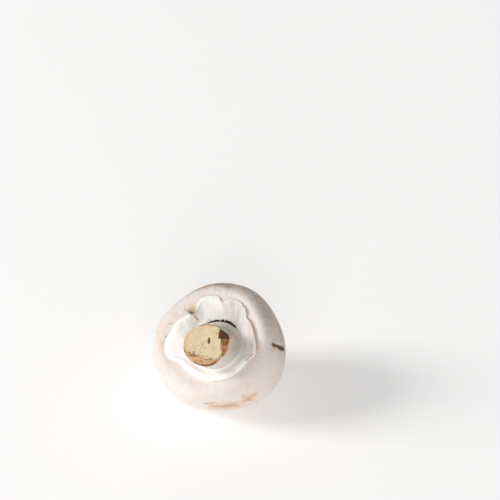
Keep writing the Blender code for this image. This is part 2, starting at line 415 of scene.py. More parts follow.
PHOTO_SIDE_MARKS = [
    Mark(
        MarkKind.BLUSH, ((281, 20.1, 2.8), (300, 20.3, 0.6), (322, 21.0, 1.0)), 3.0, 0.9, 0.4, -0.3
    ),
    Mark(
        MarkKind.TAN, ((285, 20.0, 4.0), (294, 20.2, 2.6), (305, 20.35, 1.7)), 2.8, 1.0, 0.32, -0.6
    ),
    Mark(MarkKind.TAN, ((307, 20.5, 2.2), (311, 20.6, 2.6)), 1.8, 0.6, 0.5, -0.5),
    Mark(MarkKind.TAN, ((315, 20.8, 3.2), (318, 20.9, 3.6)), 2.0, 0.72, 0.5, -0.4),
    Mark(MarkKind.TAN, ((321, 21.1, 3.6), (324, 21.2, 3.6)), 1.2, 0.6, 0.6, -0.3),
    Mark(MarkKind.BROWN, ((291, 20.2, 3.4), (297, 20.3, 3.0)), 0.8, 0.3, 0.7, -0.4),
    Mark(MarkKind.BROWN, ((312, 20.7, 3.2), (317, 20.8, 3.0)), 0.6, 0.26, 0.9, -0.4),
    Mark(MarkKind.GREY, ((277.5, 19.9, 6.1), (283, 19.8, 6.6), (289, 19.6, 7.0)), 0.26, 0.5, 0.3),
    Mark(MarkKind.GREY, ((278.6, 19.9, 6.2),), 0.34, 0.6),
    Mark(MarkKind.GREY, ((296.5, 19.4, 7.4),), 0.32, 0.6),
    Mark(MarkKind.GREY, ((62.7, 17.7, 10.5),), 0.3, 0.7),
    Mark(MarkKind.BROWN, ((173.2, 14.4, 10.9), (175.0, 14.9, 10.9)), 0.28, 0.5, 0.4),
    Mark(MarkKind.BROWN, ((190.3, 14.9, 10.9), (193.2, 15.3, 10.9)), 0.24, 0.8, 0.3),
    Mark(MarkKind.GREY, ((193.2, 15.3, 10.9), (199.6, 15.7, 10.9)), 0.2, 0.55, 0.3),
    Mark(MarkKind.BLUSH, ((176, 17.2, 10.0), (190, 17.6, 9.6), (206, 18.0, 9.2)), 2.4, 0.36, 0.6),
    Mark(MarkKind.BLUSH, ((216, 17.0, 10.4), (232, 16.6, 10.4)), 1.6, 0.35, 0.6),
    # The tan bands along the top and on the right rim are partly the skin's tan scales and partly
    # painted shade; on the right rim also a painted yellowish reflection.
    Mark(MarkKind.TAN, ((78, 18.7, 9.4), (97, 17.4, 10.2), (118, 18.4, 9.2)), 1.5, 0.24, 1.0, -0.2),
    Mark(MarkKind.TAN, ((96, 15.9, 10.9), (104, 16.2, 10.9)), 0.5, 0.3, 0.8, 0.0),
    Mark(MarkKind.TAN, ((16, 19.5, 8.4), (4, 19.6, 8.2)), 1.1, 0.22, 0.8, -0.2),
    Mark(MarkKind.TAN, ((30, 20.6, 5.0), (44, 20.4, 5.6)), 1.5, 0.3, 0.8, -0.2),
    Mark(MarkKind.BLUSH, ((8, 17.6, 9.9), (348, 18.0, 9.7)), 2.6, 0.34, 0.5, -0.5),
    Mark(MarkKind.BLUSH, ((150, 17.4, 10.2), (168, 17.0, 10.3)), 1.6, 0.4, 0.7, -0.2),
]
TEAR_MARKS = [
    Mark(MarkKind.BLUSH, ((139.5, 12.0, 11.1), (134.0, 12.2, 11.3)), 2.4, 1.0, 0.3, -0.4),
    Mark(
        MarkKind.TAN,
        ((138.0, 12.2, 11.1), (140.0, 11.4, 10.9), (141.4, 10.7, 10.7)),
        1.7, 0.72, 0.4, -0.4,
    ),
    Mark(MarkKind.BROWN, ((146.8, 13.5, 11.0), (146.5, 12.9, 11.0)), 0.72, 0.5, 0.5, -0.2),
    Mark(MarkKind.BROWN, ((146.0, 12.0, 11.0), (144.4, 11.1, 10.9)), 1.05, 0.95, 0.4, 0.0),
    Mark(MarkKind.BROWN, ((144.4, 11.1, 10.9), (140.8, 10.8, 10.6)), 0.9, 0.8, 0.4, 0.0),
    Mark(MarkKind.BROWN, ((143.6, 10.2, 10.0), (142.2, 8.9, 9.3)), 0.5, 0.6, 0.4, -0.1),
    Mark(MarkKind.TAN, ((142.0, 8.8, 9.2), (141.0, 7.9, 9.0)), 0.5, 0.4, 0.5, -0.2),
]
NICK_MARKS = [
    Mark(
        MarkKind.BROWN,
        ((9.5, 19.5, 7.6), (10.8, 19.9, 4.9), (12.0, 20.7, 1.2)),
        1.05, 0.92, 0.1, 0.5,
    ),
    Mark(
        MarkKind.TAN, ((9.0, 19.6, 7.8), (10.2, 20.2, 4.6), (11.6, 20.9, 0.6)), 1.3, 0.8, 0.3, 0.2
    ),
]
END_MARKS = [
    EndMark(MarkKind.BROWN, ((-3.95, -4.1), (-2.6, -4.0), (-1.2, -3.8)), 0.8, 0.7, 0.4, -0.2),
    EndMark(MarkKind.TAN, ((-5.2, -4.0), (-2.4, -4.1), (0.2, -4.0)), 0.95, 0.8, 0.5, -0.2),
    EndMark(MarkKind.GREY, ((-5.5, -3.5),), 0.55, 0.7, 0.4, -0.3),
    EndMark(MarkKind.GREY, ((-4.6, -3.5), (-4.0, -3.35)), 0.44, 0.8, 0.4, -0.3),
    EndMark(MarkKind.GREY, ((-3.1, -3.0), (-2.7, -3.1)), 0.46, 0.8, 0.4, -0.3),
    EndMark(MarkKind.GREY, ((-1.4, -3.2),), 0.3, 0.4, 0.4, -0.3),
    EndMark(MarkKind.GREY, ((-0.1, -4.25), (0.9, -4.2)), 0.52, 0.6, 0.4, -0.3),
    EndMark(MarkKind.GREY, ((2.3, -3.65), (3.0, -3.5)), 0.5, 0.66, 0.4, -0.3),
    EndMark(
        MarkKind.BROWN,
        ((0.9, -4.5), (3.3, -3.8), (4.6, -3.4), (5.4, -2.9), (6.1, -1.5)),
        0.46, 0.66, 0.5, -0.1,
    ),
    EndMark(
        MarkKind.BROWN,
        ((-2.6, -6.2), (-0.4, -6.4), (1.2, -6.2), (3.1, -5.5), (5.0, -4.0)),
        0.6, 0.78, 0.5, -0.1,
    ),
    EndMark(MarkKind.BROWN, ((4.5, -4.1), (5.1, -3.7)), 0.6, 0.6, 0.4, -0.1),
    EndMark(MarkKind.BROWN, ((-3.6, 5.3), (-1.2, 6.2), (1.4, 6.4)), 0.45, 0.7, 0.5, -0.1),
    EndMark(
        MarkKind.TAN,
        ((-6.3, -2.8), (-6.7, 0.4), (-5.7, 3.6), (-3.4, 5.7), (-0.6, 6.5)),
        1.4, 0.3, 0.5, -0.3,
    ),
    EndMark(MarkKind.GREY, ((-0.75, 0.1), (-0.6, -0.5)), 0.44, 0.55, 0.4, -0.3),
    EndMark(MarkKind.GREY, ((-0.76, -2.55),), 0.4, 0.62, 0.4, -0.3),
    EndMark(MarkKind.GREY, ((0.5, -1.1),), 0.34, 0.36, 0.4, -0.3),
    EndMark(MarkKind.GREY, ((-2.3, -0.9), (-1.7, -0.6)), 0.4, 0.22, 0.4, -0.3),
    EndMark(MarkKind.GREY, ((-1.6, -2.6),), 0.3, 0.45, 0.4, -0.3),
    EndMark(MarkKind.BROWN, ((4.75, 2.6), (4.85, 0.9), (4.95, -0.2)), 0.3, 0.5, 0.4, -0.2),
    EndMark(MarkKind.BROWN, ((6.15, 2.3), (6.2, 1.4)), 0.42, 0.8, 0.4, -0.2),
    EndMark(MarkKind.BROWN, ((5.5, 2.9), (5.5, 1.4)), 0.34, 0.4, 0.5, -0.2),
]
DOME_DEEP = 16.5
DOME_WIDE = 20.9
DOME_FULL = 2.2


def dome_height(radius: float) -> float:
    """Height of the plain dome at a distance from the axis."""
    return -DOME_DEEP * (1.0 - min(radius / DOME_WIDE, 1.0) ** DOME_FULL) ** (1.0 / DOME_FULL)


def dome_marks(seed: int) -> list[Mark]:
    """Bruises, scuffs, specks and scratches of the side that the photo hides.

    Args:
        seed: Picks their places.

    Returns:
        The marks, all on the dome.
    """
    draw = np.random.default_rng(seed)
    marks = []
    for turn, radius, swing, reach, size in (
        (205.0, 14.5, 14.0, 1.5, 1.1),
        (232.0, 18.6, 9.0, -1.0, 0.8),
        (128.0, 16.8, -12.0, 1.8, 1.3),
        (60.0, 12.0, 10.0, -1.2, 0.9),
        (318.0, 15.5, 16.0, 1.0, 1.0),
        (14.0, 17.2, 6.0, 1.4, 0.75),
        (96.0, 6.0, 30.0, 2.2, 1.2),
        (270.0, 8.5, -18.0, 1.4, 0.8),
    ):
        path = (
            (turn, radius, dome_height(radius)),
            (turn + swing, radius + reach, dome_height(radius + reach)),
        )
        marks.append(Mark(MarkKind.BLUSH, path, size * 2.3, 0.4, 0.6))
        marks.append(Mark(MarkKind.TAN, path, size * 1.1, draw.uniform(0.35, 0.6), 0.9, -0.2))
        marks.append(Mark(MarkKind.BROWN, path, size * 0.6, draw.uniform(0.2, 0.42), 0.9, -0.5))
    for _ in range(9):
        radius = draw.uniform(4.0, 20.2)
        turn = draw.uniform(0.0, 360.0)
        path = ((turn, radius, dome_height(radius)),)
        marks.append(Mark(MarkKind.GREY, path, draw.uniform(0.2, 0.42), 0.95, 0.25))
    for _ in range(34):
        radius = draw.uniform(3.0, 20.5)
        path = ((draw.uniform(0.0, 360.0), radius, dome_height(radius)),)
        size = draw.uniform(0.12, 0.2)
        marks.append(Mark(MarkKind.GREY, path, size, draw.uniform(0.35, 0.8), 0.3))
    for _ in range(7):
        radius = draw.uniform(8.0, 19.5)
        turn = draw.uniform(0.0, 360.0)
        swing = draw.uniform(-7.0, 7.0)
        away = min(radius + draw.uniform(-1.2, 1.2), 20.4)
        path = ((turn, radius, dome_height(radius)), (turn + swing, away, dome_height(away)))
        marks.append(Mark(MarkKind.GREY, path, 0.2, draw.uniform(0.2, 0.4), 0.8))
    return marks


# Node groups that several finishes share


def new_group(
    name: str, inputs: list[tuple[str, str, float | Colour]], outputs: list[tuple[str, str]]
) -> bpy.types.NodeTree:
    """Makes an empty shader group.

    Args:
        name: The group's name.
        inputs: Each input's name, socket type and default value.
        outputs: Each output's name and socket type.

    Returns:
        The group, with its input and output nodes placed.
    """
    group = bpy.data.node_groups.new(name, "ShaderNodeTree")
    for label, kind, value in inputs:
        socket = group.interface.new_socket(name=label, in_out="INPUT", socket_type=kind)
        socket.default_value = value
    for label, kind in outputs:
        group.interface.new_socket(name=label, in_out="OUTPUT", socket_type=kind)
    group.nodes.new("NodeGroupInput").name = "in"
    group.nodes.new("NodeGroupOutput").name = "out"
    return group


def add_node(tree: bpy.types.NodeTree, kind: str, **settings: object) -> bpy.types.Node:
    """Adds a node and sets it.

    Args:
        tree: The node tree.
        kind: The node's type.
        settings: The node's options, or its inputs where a name is one of theirs.

    Returns:
        The node.
    """
    node = tree.nodes.new(kind)
    for key, value in settings.items():
        label = key.replace("_", " ").title()
        if hasattr(node, key):
            setattr(node, key, value)
        else:
            node.inputs[label].default_value = value
    return node


def feed(
    tree: bpy.types.NodeTree, node: bpy.types.Node, key: int | str, value: Value | Paint
) -> None:
    """Links a socket to a node's input, or sets the input to a plain value.

    Args:
        tree: The node tree.
        node: The node.
        key: The input's number or name.
        value: What goes in.
    """
    if isinstance(value, bpy.types.NodeSocket):
        tree.links.new(value, node.inputs[key])
    else:
        node.inputs[key].default_value = value


def mix_colour(
    tree: bpy.types.NodeTree, factor: Value, first: Paint, second: Paint
) -> bpy.types.NodeSocket:
    """Mixes two colours.

    Args:
        tree: The node tree.
        factor: A socket or number for how much of the second shows.
        first: A socket or colour.
        second: A socket or colour.

    Returns:
        The mixed colour's socket.
    """
    node = tree.nodes.new("ShaderNodeMix")
    node.data_type = "RGBA"
    node.clamp_factor = True
    for index, value in ((0, factor), (6, first), (7, second)):
        feed(tree, node, index, value)
    return node.outputs[2]


class Step(Enum):
    """A step of arithmetic, under the name that its node has for it."""

    ADD = "ADD"
    SUBTRACT = "SUBTRACT"
    MULTIPLY = "MULTIPLY"
    MAXIMUM = "MAXIMUM"
    LESS_THAN = "LESS_THAN"


def calc(
    tree: bpy.types.NodeTree, operation: Step, first: Value, second: Value, clamp: bool = False
) -> bpy.types.NodeSocket:
    """One step of arithmetic.

    Args:
        tree: The node tree.
        operation: What is done.
        first: A socket or number.
        second: A socket or number.
        clamp: Whether the result is kept from 0 to 1.

    Returns:
        The result's socket.
    """
    node = tree.nodes.new("ShaderNodeMath")
    node.operation = operation.value
    node.use_clamp = clamp
    feed(tree, node, 0, first)
    feed(tree, node, 1, second)
    return node.outputs[0]


def ramp(
    tree: bpy.types.NodeTree, value: bpy.types.NodeSocket, low: float, high: float
) -> bpy.types.NodeSocket:
    """A smooth step.

    Args:
        tree: The node tree.
        value: The socket that drives it.
        low: Where it begins.
        high: Where it ends.

    Returns:
        The step's socket, from 0 to 1.
    """
    node = tree.nodes.new("ShaderNodeMapRange")
    node.interpolation_type = "SMOOTHSTEP"
    tree.links.new(value, node.inputs["Value"])
    node.inputs["From Min"].default_value = low
    node.inputs["From Max"].default_value = high
    return node.outputs["Result"]


class SharedEffects:
    """The effects that several finishes use, each a node group made once."""

    def __init__(self) -> None:
        """Builds the groups."""
        self.mottle = self.build_mottle()
        self.fibres = self.build_fibres()
        self.specks = self.build_specks()
        self.stains = self.build_stains_and_shade()

    def build_mottle(self) -> bpy.types.NodeTree:
        """Soft patches of a warmer and a paler tone over a base colour.

        Returns:
            The group, which puts out a colour.
        """
        group = new_group(
            "flesh mottle",
            [
                ("Base", "NodeSocketColor", (0.8, 0.75, 0.7, 1.0)),
                ("Warm", "NodeSocketColor", (0.8, 0.7, 0.6, 1.0)),
                ("Pale", "NodeSocketColor", (0.9, 0.88, 0.86, 1.0)),
                ("Scale", "NodeSocketFloat", 120.0),
                ("Amount", "NodeSocketFloat", 0.5),
            ],
            [("Color", "NodeSocketColor")],
        )
        link = group.links.new
        source = group.nodes["in"].outputs
        where = add_node(group, "ShaderNodeTexCoord")
        broad = add_node(group, "ShaderNodeTexNoise", detail=4.0, roughness=0.6)
        link(where.outputs["Object"], broad.inputs["Vector"])
        link(source["Scale"], broad.inputs["Scale"])
        fine = add_node(group, "ShaderNodeTexNoise", detail=5.0, roughness=0.7)
        link(where.outputs["Object"], fine.inputs["Vector"])
        link(calc(group, Step.MULTIPLY, source["Scale"], 6.5), fine.inputs["Scale"])
        warm = ramp(group, broad.outputs["Fac"], 0.5, 0.72)
        warm = calc(group, Step.MULTIPLY, warm, source["Amount"])
        pale = ramp(group, fine.outputs["Fac"], 0.5, 0.75)
        pale = calc(group, Step.MULTIPLY, pale, source["Amount"])
        tone = mix_colour(group, warm, source["Base"], source["Warm"])
        tone = mix_colour(group, pale, tone, source["Pale"])
        link(tone, group.nodes["out"].inputs["Color"])
        return group

    def build_fibres(self) -> bpy.types.NodeTree:
        """Fine fibrils that run along the growth, from the mesh's grain attribute.

        Returns:
            The group, which puts out a height and a mask.
        """
        group = new_group(
            "flesh fibres",
            [("Scale", "NodeSocketFloat", 1.0), ("Coarse", "NodeSocketFloat", 0.35)],
            [("Height", "NodeSocketFloat"), ("Mask", "NodeSocketFloat")],
        )
        link = group.links.new
        source = group.nodes["in"].outputs
        grain = add_node(group, "ShaderNodeAttribute", attribute_name="grain")
        fine = add_node(group, "ShaderNodeTexNoise", detail=3.0, roughness=0.65)
        link(grain.outputs["Vector"], fine.inputs["Vector"])
        link(source["Scale"], fine.inputs["Scale"])
        coarse = add_node(group, "ShaderNodeTexNoise", detail=2.0, roughness=0.5)
        link(grain.outputs["Vector"], coarse.inputs["Vector"])
        link(calc(group, Step.MULTIPLY, source["Scale"], source["Coarse"]), coarse.inputs["Scale"])
        both = calc(group, Step.ADD, fine.outputs["Fac"], coarse.outputs["Fac"])
        link(calc(group, Step.MULTIPLY, both, 0.5), group.nodes["out"].inputs["Height"])
        link(ramp(group, coarse.outputs["Fac"], 0.52, 0.7), group.nodes["out"].inputs["Mask"])
        return group

    def build_specks(self) -> bpy.types.NodeTree:
        """Pinpoint specks at random places.

        Returns:
            The group, which puts out a mask.
        """
        group = new_group(
            "flesh specks",
            [
                ("Scale", "NodeSocketFloat", 600.0),
                ("Share", "NodeSocketFloat", 0.1),
                ("Size", "NodeSocketFloat", 0.25),
            ],
            [("Mask", "NodeSocketFloat")],
        )
        link = group.links.new
        source = group.nodes["in"].outputs
        where = add_node(group, "ShaderNodeTexCoord")
        cells = add_node(group, "ShaderNodeTexVoronoi")
        link(where.outputs["Object"], cells.inputs["Vector"])
        link(source["Scale"], cells.inputs["Scale"])
        parts = add_node(group, "ShaderNodeSeparateColor")
        link(cells.outputs["Color"], parts.inputs["Color"])
        chosen = calc(group, Step.LESS_THAN, parts.outputs["Red"], source["Share"])
        near = calc(group, Step.SUBTRACT, source["Size"], cells.outputs["Distance"])
        dot = calc(group, Step.MULTIPLY, near, 12.0, clamp=True)
        link(calc(group, Step.MULTIPLY, dot, chosen), group.nodes["out"].inputs["Mask"])
        return group

    def build_stains_and_shade(self) -> bpy.types.NodeTree:
        """The mesh's own marks and painted shade laid over a colour, with broken edges.

        Returns:
            The group, which puts out a colour and a mask of all stains and painted shade.
        """
        group = new_group(
            "flesh stains",
            [
                ("Color", "NodeSocketColor", (0.8, 0.75, 0.7, 1.0)),
                ("Strength", "NodeSocketFloat", 1.0),
            ],
            [("Color", "NodeSocketColor"), ("Mask", "NodeSocketFloat")],
        )
        link = group.links.new
        source = group.nodes["in"].outputs
        where = add_node(group, "ShaderNodeTexCoord")
        broken = add_node(group, "ShaderNodeTexNoise", scale=1400.0, detail=5.0, roughness=0.7)
        link(where.outputs["Object"], broken.inputs["Vector"])
        # The grey, tan and brown tones also lay the painted shade carried in these masks.
        tones = (
            (MarkKind.BLUSH, (0.80, 0.62, 0.52, 1.0), 0.45),
            (MarkKind.TAN, (0.56, 0.32, 0.14, 1.0), 0.9),
            (MarkKind.GREY, (0.17, 0.14, 0.11, 1.0), 0.35),
            (MarkKind.BROWN, (0.1, 0.038, 0.009, 1.0), 0.45),
        )
        tone = source["Color"]
        total = None
        for kind, shade, breaking in tones:
            mark = add_node(group, "ShaderNodeAttribute", attribute_name=kind.value)
            uneven = calc(group, Step.SUBTRACT, broken.outputs["Fac"], 0.5)
            uneven = calc(group, Step.MULTIPLY, uneven, breaking * 2.0)
            uneven = calc(group, Step.ADD, uneven, 1.0)
            factor = calc(group, Step.MULTIPLY, mark.outputs["Fac"], uneven, clamp=True)
            factor = calc(group, Step.MULTIPLY, factor, source["Strength"], clamp=True)
            tone = mix_colour(group, factor, tone, shade)
            total = factor if total is None else calc(group, Step.MAXIMUM, total, factor)
        link(tone, group.nodes["out"].inputs["Color"])
        link(total, group.nodes["out"].inputs["Mask"])
        return group


def place_group(
    tree: bpy.types.NodeTree, group: bpy.types.NodeTree, **values: Value | Paint
) -> bpy.types.Node:
    """Places a shared effect in a tree.

    Args:
        tree: The material's tree.
        group: The effect.
        values: Its own values or links, by the group's input names.

    Returns:
        The group's node.
    """
    node = tree.nodes.new("ShaderNodeGroup")
    node.node_tree = group
    for label, value in values.items():
        feed(tree, node, label, value)
    return node


# Finishes


def linear(red: int, green: int, blue: int) -> Colour:
    """A colour as a shader takes it.

    Args:
        red: Its red, from 0 to 255.
        green: Its green.
        blue: Its blue.

    Returns:
        The opaque colour.
    """
    values = [channel / 255.0 for channel in (red, green, blue)]
    low = [v / 12.92 if v <= 0.04045 else ((v + 0.055) / 1.055) ** 2.4 for v in values]
    return (low[0], low[1], low[2], 1.0)


@dataclass(frozen=True)
class FleshFinish:
    """One finish of the mushroom's flesh: its tones, its fibrils and its sheen."""

    name: str
    base: Colour
    warm: Colour
    pale: Colour
    mottle_scale: float
    mottle_amount: float
    fibre_scale: float
    fibre_height: float
    fibre_tint: float
    pore_scale: float
    pore_height: float
    speck_scale: float
    speck_share: float
    roughness: float
    subsurface: float

    def build(self, shared: SharedEffects) -> bpy.types.Material:
        """Makes the material.

        Args:
            shared: The shared node groups.

        Returns:
            The material.
        """
        material = bpy.data.materials.new(self.name)
        material.use_nodes = True
        tree = material.node_tree
        shader = tree.nodes["Principled BSDF"]
        link = tree.links.new
        mottle = place_group(
            tree, shared.mottle, Base=self.base, Warm=self.warm, Pale=self.pale,
            Scale=self.mottle_scale, Amount=self.mottle_amount,
        )
        fibres = place_group(tree, shared.fibres, Scale=self.fibre_scale, Coarse=0.3)
        tint = calc(tree, Step.MULTIPLY, fibres.outputs["Mask"], self.fibre_tint)
        tone = mix_colour(tree, tint, mottle.outputs["Color"], self.warm)
        specks = place_group(
            tree, shared.specks, Scale=self.speck_scale, Share=self.speck_share, Size=0.2
        )
        dots = calc(tree, Step.MULTIPLY, specks.outputs["Mask"], 0.7)
        tone = mix_colour(tree, dots, tone, (0.24, 0.17, 0.11, 1.0))
        tone = self.tone_by_place(tree, tone)
        stains = place_group(tree, shared.stains, Color=tone, Strength=1.0)
        link(stains.outputs["Color"], shader.inputs["Base Color"])
        worn = calc(tree, Step.MULTIPLY, stains.outputs["Mask"], 0.12)
        uneven = calc(tree, Step.MULTIPLY, fibres.outputs["Height"], 0.1)
        rough_at = calc(tree, Step.ADD, calc(tree, Step.ADD, worn, uneven), self.roughness - 0.05)
        link(rough_at, shader.inputs["Roughness"])
        link(self.surface(tree, fibres, stains), shader.inputs["Normal"])
        shader.inputs["Subsurface Weight"].default_value = self.subsurface
        shader.inputs["Subsurface Radius"].default_value = (1.0, 0.62, 0.42)
        shader.inputs["Subsurface Scale"].default_value = 0.0006
        shader.inputs["Specular IOR Level"].default_value = 0.32
        shader.inputs["Sheen Weight"].default_value = 0.12
        shader.inputs["Sheen Roughness"].default_value = 0.5
        return material

    def tone_by_place(
        self, tree: bpy.types.NodeTree, tone: bpy.types.NodeSocket
    ) -> bpy.types.NodeSocket:
        """Lets a finish change its colour by where it is; plain flesh keeps it."""
        return tone

    def surface(
        self, tree: bpy.types.NodeTree, fibres: bpy.types.Node, stains: bpy.types.Node
    ) -> bpy.types.NodeSocket:
        """The fine relief as a normal: fibrils over pores, and sunken stains and painted shade.

        Args:
            tree: The material's tree.
            fibres: The fibre group in it.
            stains: The stain group in it.

        Returns:
            The normal's socket.
        """
        link = tree.links.new
        where = add_node(tree, "ShaderNodeTexCoord")
        pores = add_node(
            tree, "ShaderNodeTexNoise", scale=self.pore_scale, detail=6.0, roughness=0.72
        )
        link(where.outputs["Object"], pores.inputs["Vector"])
        first = add_node(tree, "ShaderNodeBump", distance=self.pore_height * MM, strength=1.0)
        link(pores.outputs["Fac"], first.inputs["Height"])
        second = add_node(tree, "ShaderNodeBump", distance=self.fibre_height * MM, strength=1.0)
        link(fibres.outputs["Height"], second.inputs["Height"])
        link(first.outputs["Normal"], second.inputs["Normal"])
        third = add_node(tree, "ShaderNodeBump", distance=0.03 * MM, strength=1.0, invert=True)
        link(stains.outputs["Mask"], third.inputs["Height"])
        link(second.outputs["Normal"], third.inputs["Normal"])
        return third.outputs["Normal"]


@dataclass(frozen=True)
class CutFinish(FleshFinish):
    """The cut end of the stalk, with its browned chip, bevel and edges."""

    chip: Colour = linear(198, 130, 70)
    bevel: Colour = linear(193, 143, 97)
    edge: Colour = linear(136, 70, 35)

    def tone_by_place(
        self, tree: bpy.types.NodeTree, tone: bpy.types.NodeSocket
    ) -> bpy.types.NodeSocket:
        """Browns the chip, the bevel and the outer edge by the mesh's own masks.

        Args:
            tree: The material's tree.
            tone: The flesh's colour.

        Returns:
            The browned colour's socket.
        """
        where = add_node(tree, "ShaderNodeTexCoord")
        broken = add_node(tree, "ShaderNodeTexNoise", scale=900.0, detail=6.0, roughness=0.7)
        tree.links.new(where.outputs["Object"], broken.inputs["Vector"])
        uneven = calc(tree, Step.ADD, calc(tree, Step.MULTIPLY, broken.outputs["Fac"], 1.5), 0.25)
        for label, shade in (("bevel", self.bevel), ("chip", self.chip), ("edge", self.edge)):
            mask = add_node(tree, "ShaderNodeAttribute", attribute_name=label)
            factor = calc(tree, Step.MULTIPLY, mask.outputs["Fac"], uneven, clamp=True)
            tone = mix_colour(tree, factor, tone, shade)
        return tone


CAP_SKIN = FleshFinish(
    name="cap skin",
    base=linear(228, 219, 213),
    warm=linear(224, 205, 192),
    pale=linear(238, 233, 230),
    mottle_scale=110.0, mottle_amount=0.6,
    fibre_scale=2.2, fibre_height=0.045, fibre_tint=0.12,
    pore_scale=2600.0, pore_height=0.035,
    speck_scale=420.0, speck_share=0.02,
    roughness=0.6, subsurface=0.2,
)
VEIL_FLESH = FleshFinish(
    name="veil flesh",
    base=linear(252, 249, 245),
    warm=linear(243, 233, 222),
    pale=linear(255, 254, 252),
    mottle_scale=150.0, mottle_amount=0.3,
    fibre_scale=2.4, fibre_height=0.045, fibre_tint=0.1,
    pore_scale=3400.0, pore_height=0.03,
    speck_scale=700.0, speck_share=0.01,
    roughness=0.66, subsurface=0.25,
)
STALK_SKIN = FleshFinish(
    name="stalk skin",
    base=linear(222, 214, 205),
    warm=linear(211, 196, 178),
    pale=linear(234, 228, 221),
    mottle_scale=160.0, mottle_amount=0.4,
    fibre_scale=2.8, fibre_height=0.07, fibre_tint=0.25,
    pore_scale=3000.0, pore_height=0.04,
    speck_scale=520.0, speck_share=0.05,
    roughness=0.68, subsurface=0.2,
)
CUT_FLESH = CutFinish(
    name="cut flesh",
    base=linear(217, 199, 165),
    warm=linear(209, 174, 131),
    pale=linear(238, 225, 196),
    mottle_scale=380.0, mottle_amount=0.75,
    fibre_scale=1.0, fibre_height=0.02, fibre_tint=0.1,
    pore_scale=2200.0, pore_height=0.14,
    speck_scale=760.0, speck_share=0.1,
    roughness=0.72, subsurface=0.12,
)
GILL_FLESH = FleshFinish(
    name="gill flesh",
    base=linear(150, 112, 96),
    warm=linear(110, 76, 60),
    pale=linear(180, 146, 128),
    mottle_scale=600.0, mottle_amount=0.5,
    fibre_scale=1.0, fibre_height=0.02, fibre_tint=0.2,
    pore_scale=3000.0, pore_height=0.03,
    speck_scale=500.0, speck_share=0.02,
    roughness=0.7, subsurface=0.05,
)
CRUMB_SOIL = FleshFinish(
    name="growing soil",
    base=linear(92, 66, 44),
    warm=linear(58, 40, 26),
    pale=linear(132, 104, 76),
    mottle_scale=900.0, mottle_amount=0.8,
    fibre_scale=1.0, fibre_height=0.02, fibre_tint=0.3,
    pore_scale=4000.0, pore_height=0.1,
    speck_scale=900.0, speck_share=0.2,
    roughness=0.9, subsurface=0.0,
)


# Building meshes from rings


def set_grain(mesh: bpy.types.Mesh, grain: np.ndarray) -> None:
    """Gives each of a mesh's points the coordinates that its fibrils are drawn in."""
    layer = mesh.attributes.new("grain", "FLOAT_VECTOR", "POINT")
    layer.data.foreach_set("vector", grain.astype(np.float32).reshape(-1))


def place_mesh(
    name: str, mesh: bpy.types.Mesh, material: bpy.types.Material
) -> bpy.types.Object:
    """Puts a mesh in the scene.

    Args:
        name: The object's name.
        mesh: The mesh.
        material: Its one material.

    Returns:
        The object.
    """
    mesh.materials.append(material)
    piece = bpy.data.objects.new(name, mesh)
    bpy.context.scene.collection.objects.link(piece)
    return piece


@dataclass
class RingGrid:
    """Rings of points round the axis, with what each point carries."""

    points: np.ndarray
    masks: Masks
    grain: np.ndarray
    tip: np.ndarray | None = None

    def build(self, name: str, pose: Pose, material: bpy.types.Material) -> bpy.types.Object:
        """Makes the mesh object.

        Args:
            name: The piece's name.
            pose: How it is laid down.
            material: Its finish.

        Returns:
            The object, in the scene.
        """
        rings, columns = self.points.shape[:2]
        flat = self.points.reshape(-1, 3)
        masks = {label: np.clip(mask, 0.0, 1.0).reshape(-1) for label, mask in self.masks.items()}
        grain = self.grain.reshape(-1, 3)
        index = np.arange(rings * columns).reshape(rings, columns)
        right = np.roll(index, -1, axis=1)
        quads = np.stack([index[:-1], index[1:], right[1:], right[:-1]], axis=-1).reshape(-1, 4)
        faces = [tuple(face) for face in quads.tolist()]
        if self.tip is not None:
            away = [np.linalg.norm(self.points[end].mean(axis=0) - self.tip) for end in (0, -1)]
            at_start = away[0] < away[1]
            ring = index[0] if at_start else index[-1]
            turned = np.roll(ring, -1)
            last = len(flat)
            flat = np.vstack([flat, self.tip[None]])
            grain = np.vstack([grain, grain[ring].mean(axis=0)[None]])
            masks = {label: np.append(mask, mask[ring].mean()) for label, mask in masks.items()}
            first, second = (ring, turned) if at_start else (turned, ring)
            faces += [(int(a), int(b), last) for a, b in zip(first, second)]
        mesh = bpy.data.meshes.new(name)
        mesh.from_pydata(pose.to_world(flat).tolist(), [], faces)
        mesh.polygons.foreach_set("use_smooth", np.ones(len(mesh.polygons), dtype=bool))
        for label, mask in masks.items():
            layer = mesh.attributes.new(label, "FLOAT", "POINT")
            layer.data.foreach_set("value", mask.astype(np.float32))
        set_grain(mesh, grain)
        mesh.update()
        return place_mesh(name, mesh, material)


def grain_of(points: np.ndarray, phi: np.ndarray, turns: float, run: float) -> np.ndarray:
    """Coordinates in which noise becomes fibrils along the growth.

    Args:
        points: The grid's points.
        phi: The columns' angles.
        turns: How fine the fibrils are round the axis.
        run: How fast they change along it, per mm.

    Returns:
        The coordinates, one for each point.
    """
    step = np.linalg.norm(np.diff(points, axis=0), axis=-1).mean(axis=1)
    along = np.concatenate([[0.0], np.cumsum(step)])[:, None] * run
    around = np.stack([np.cos(phi), np.sin(phi)], axis=-1) * turns
    grain = np.zeros(points.shape)
    grain[..., :2] = around[None]
    grain[..., 2] = along
    return grain


# The mushroom


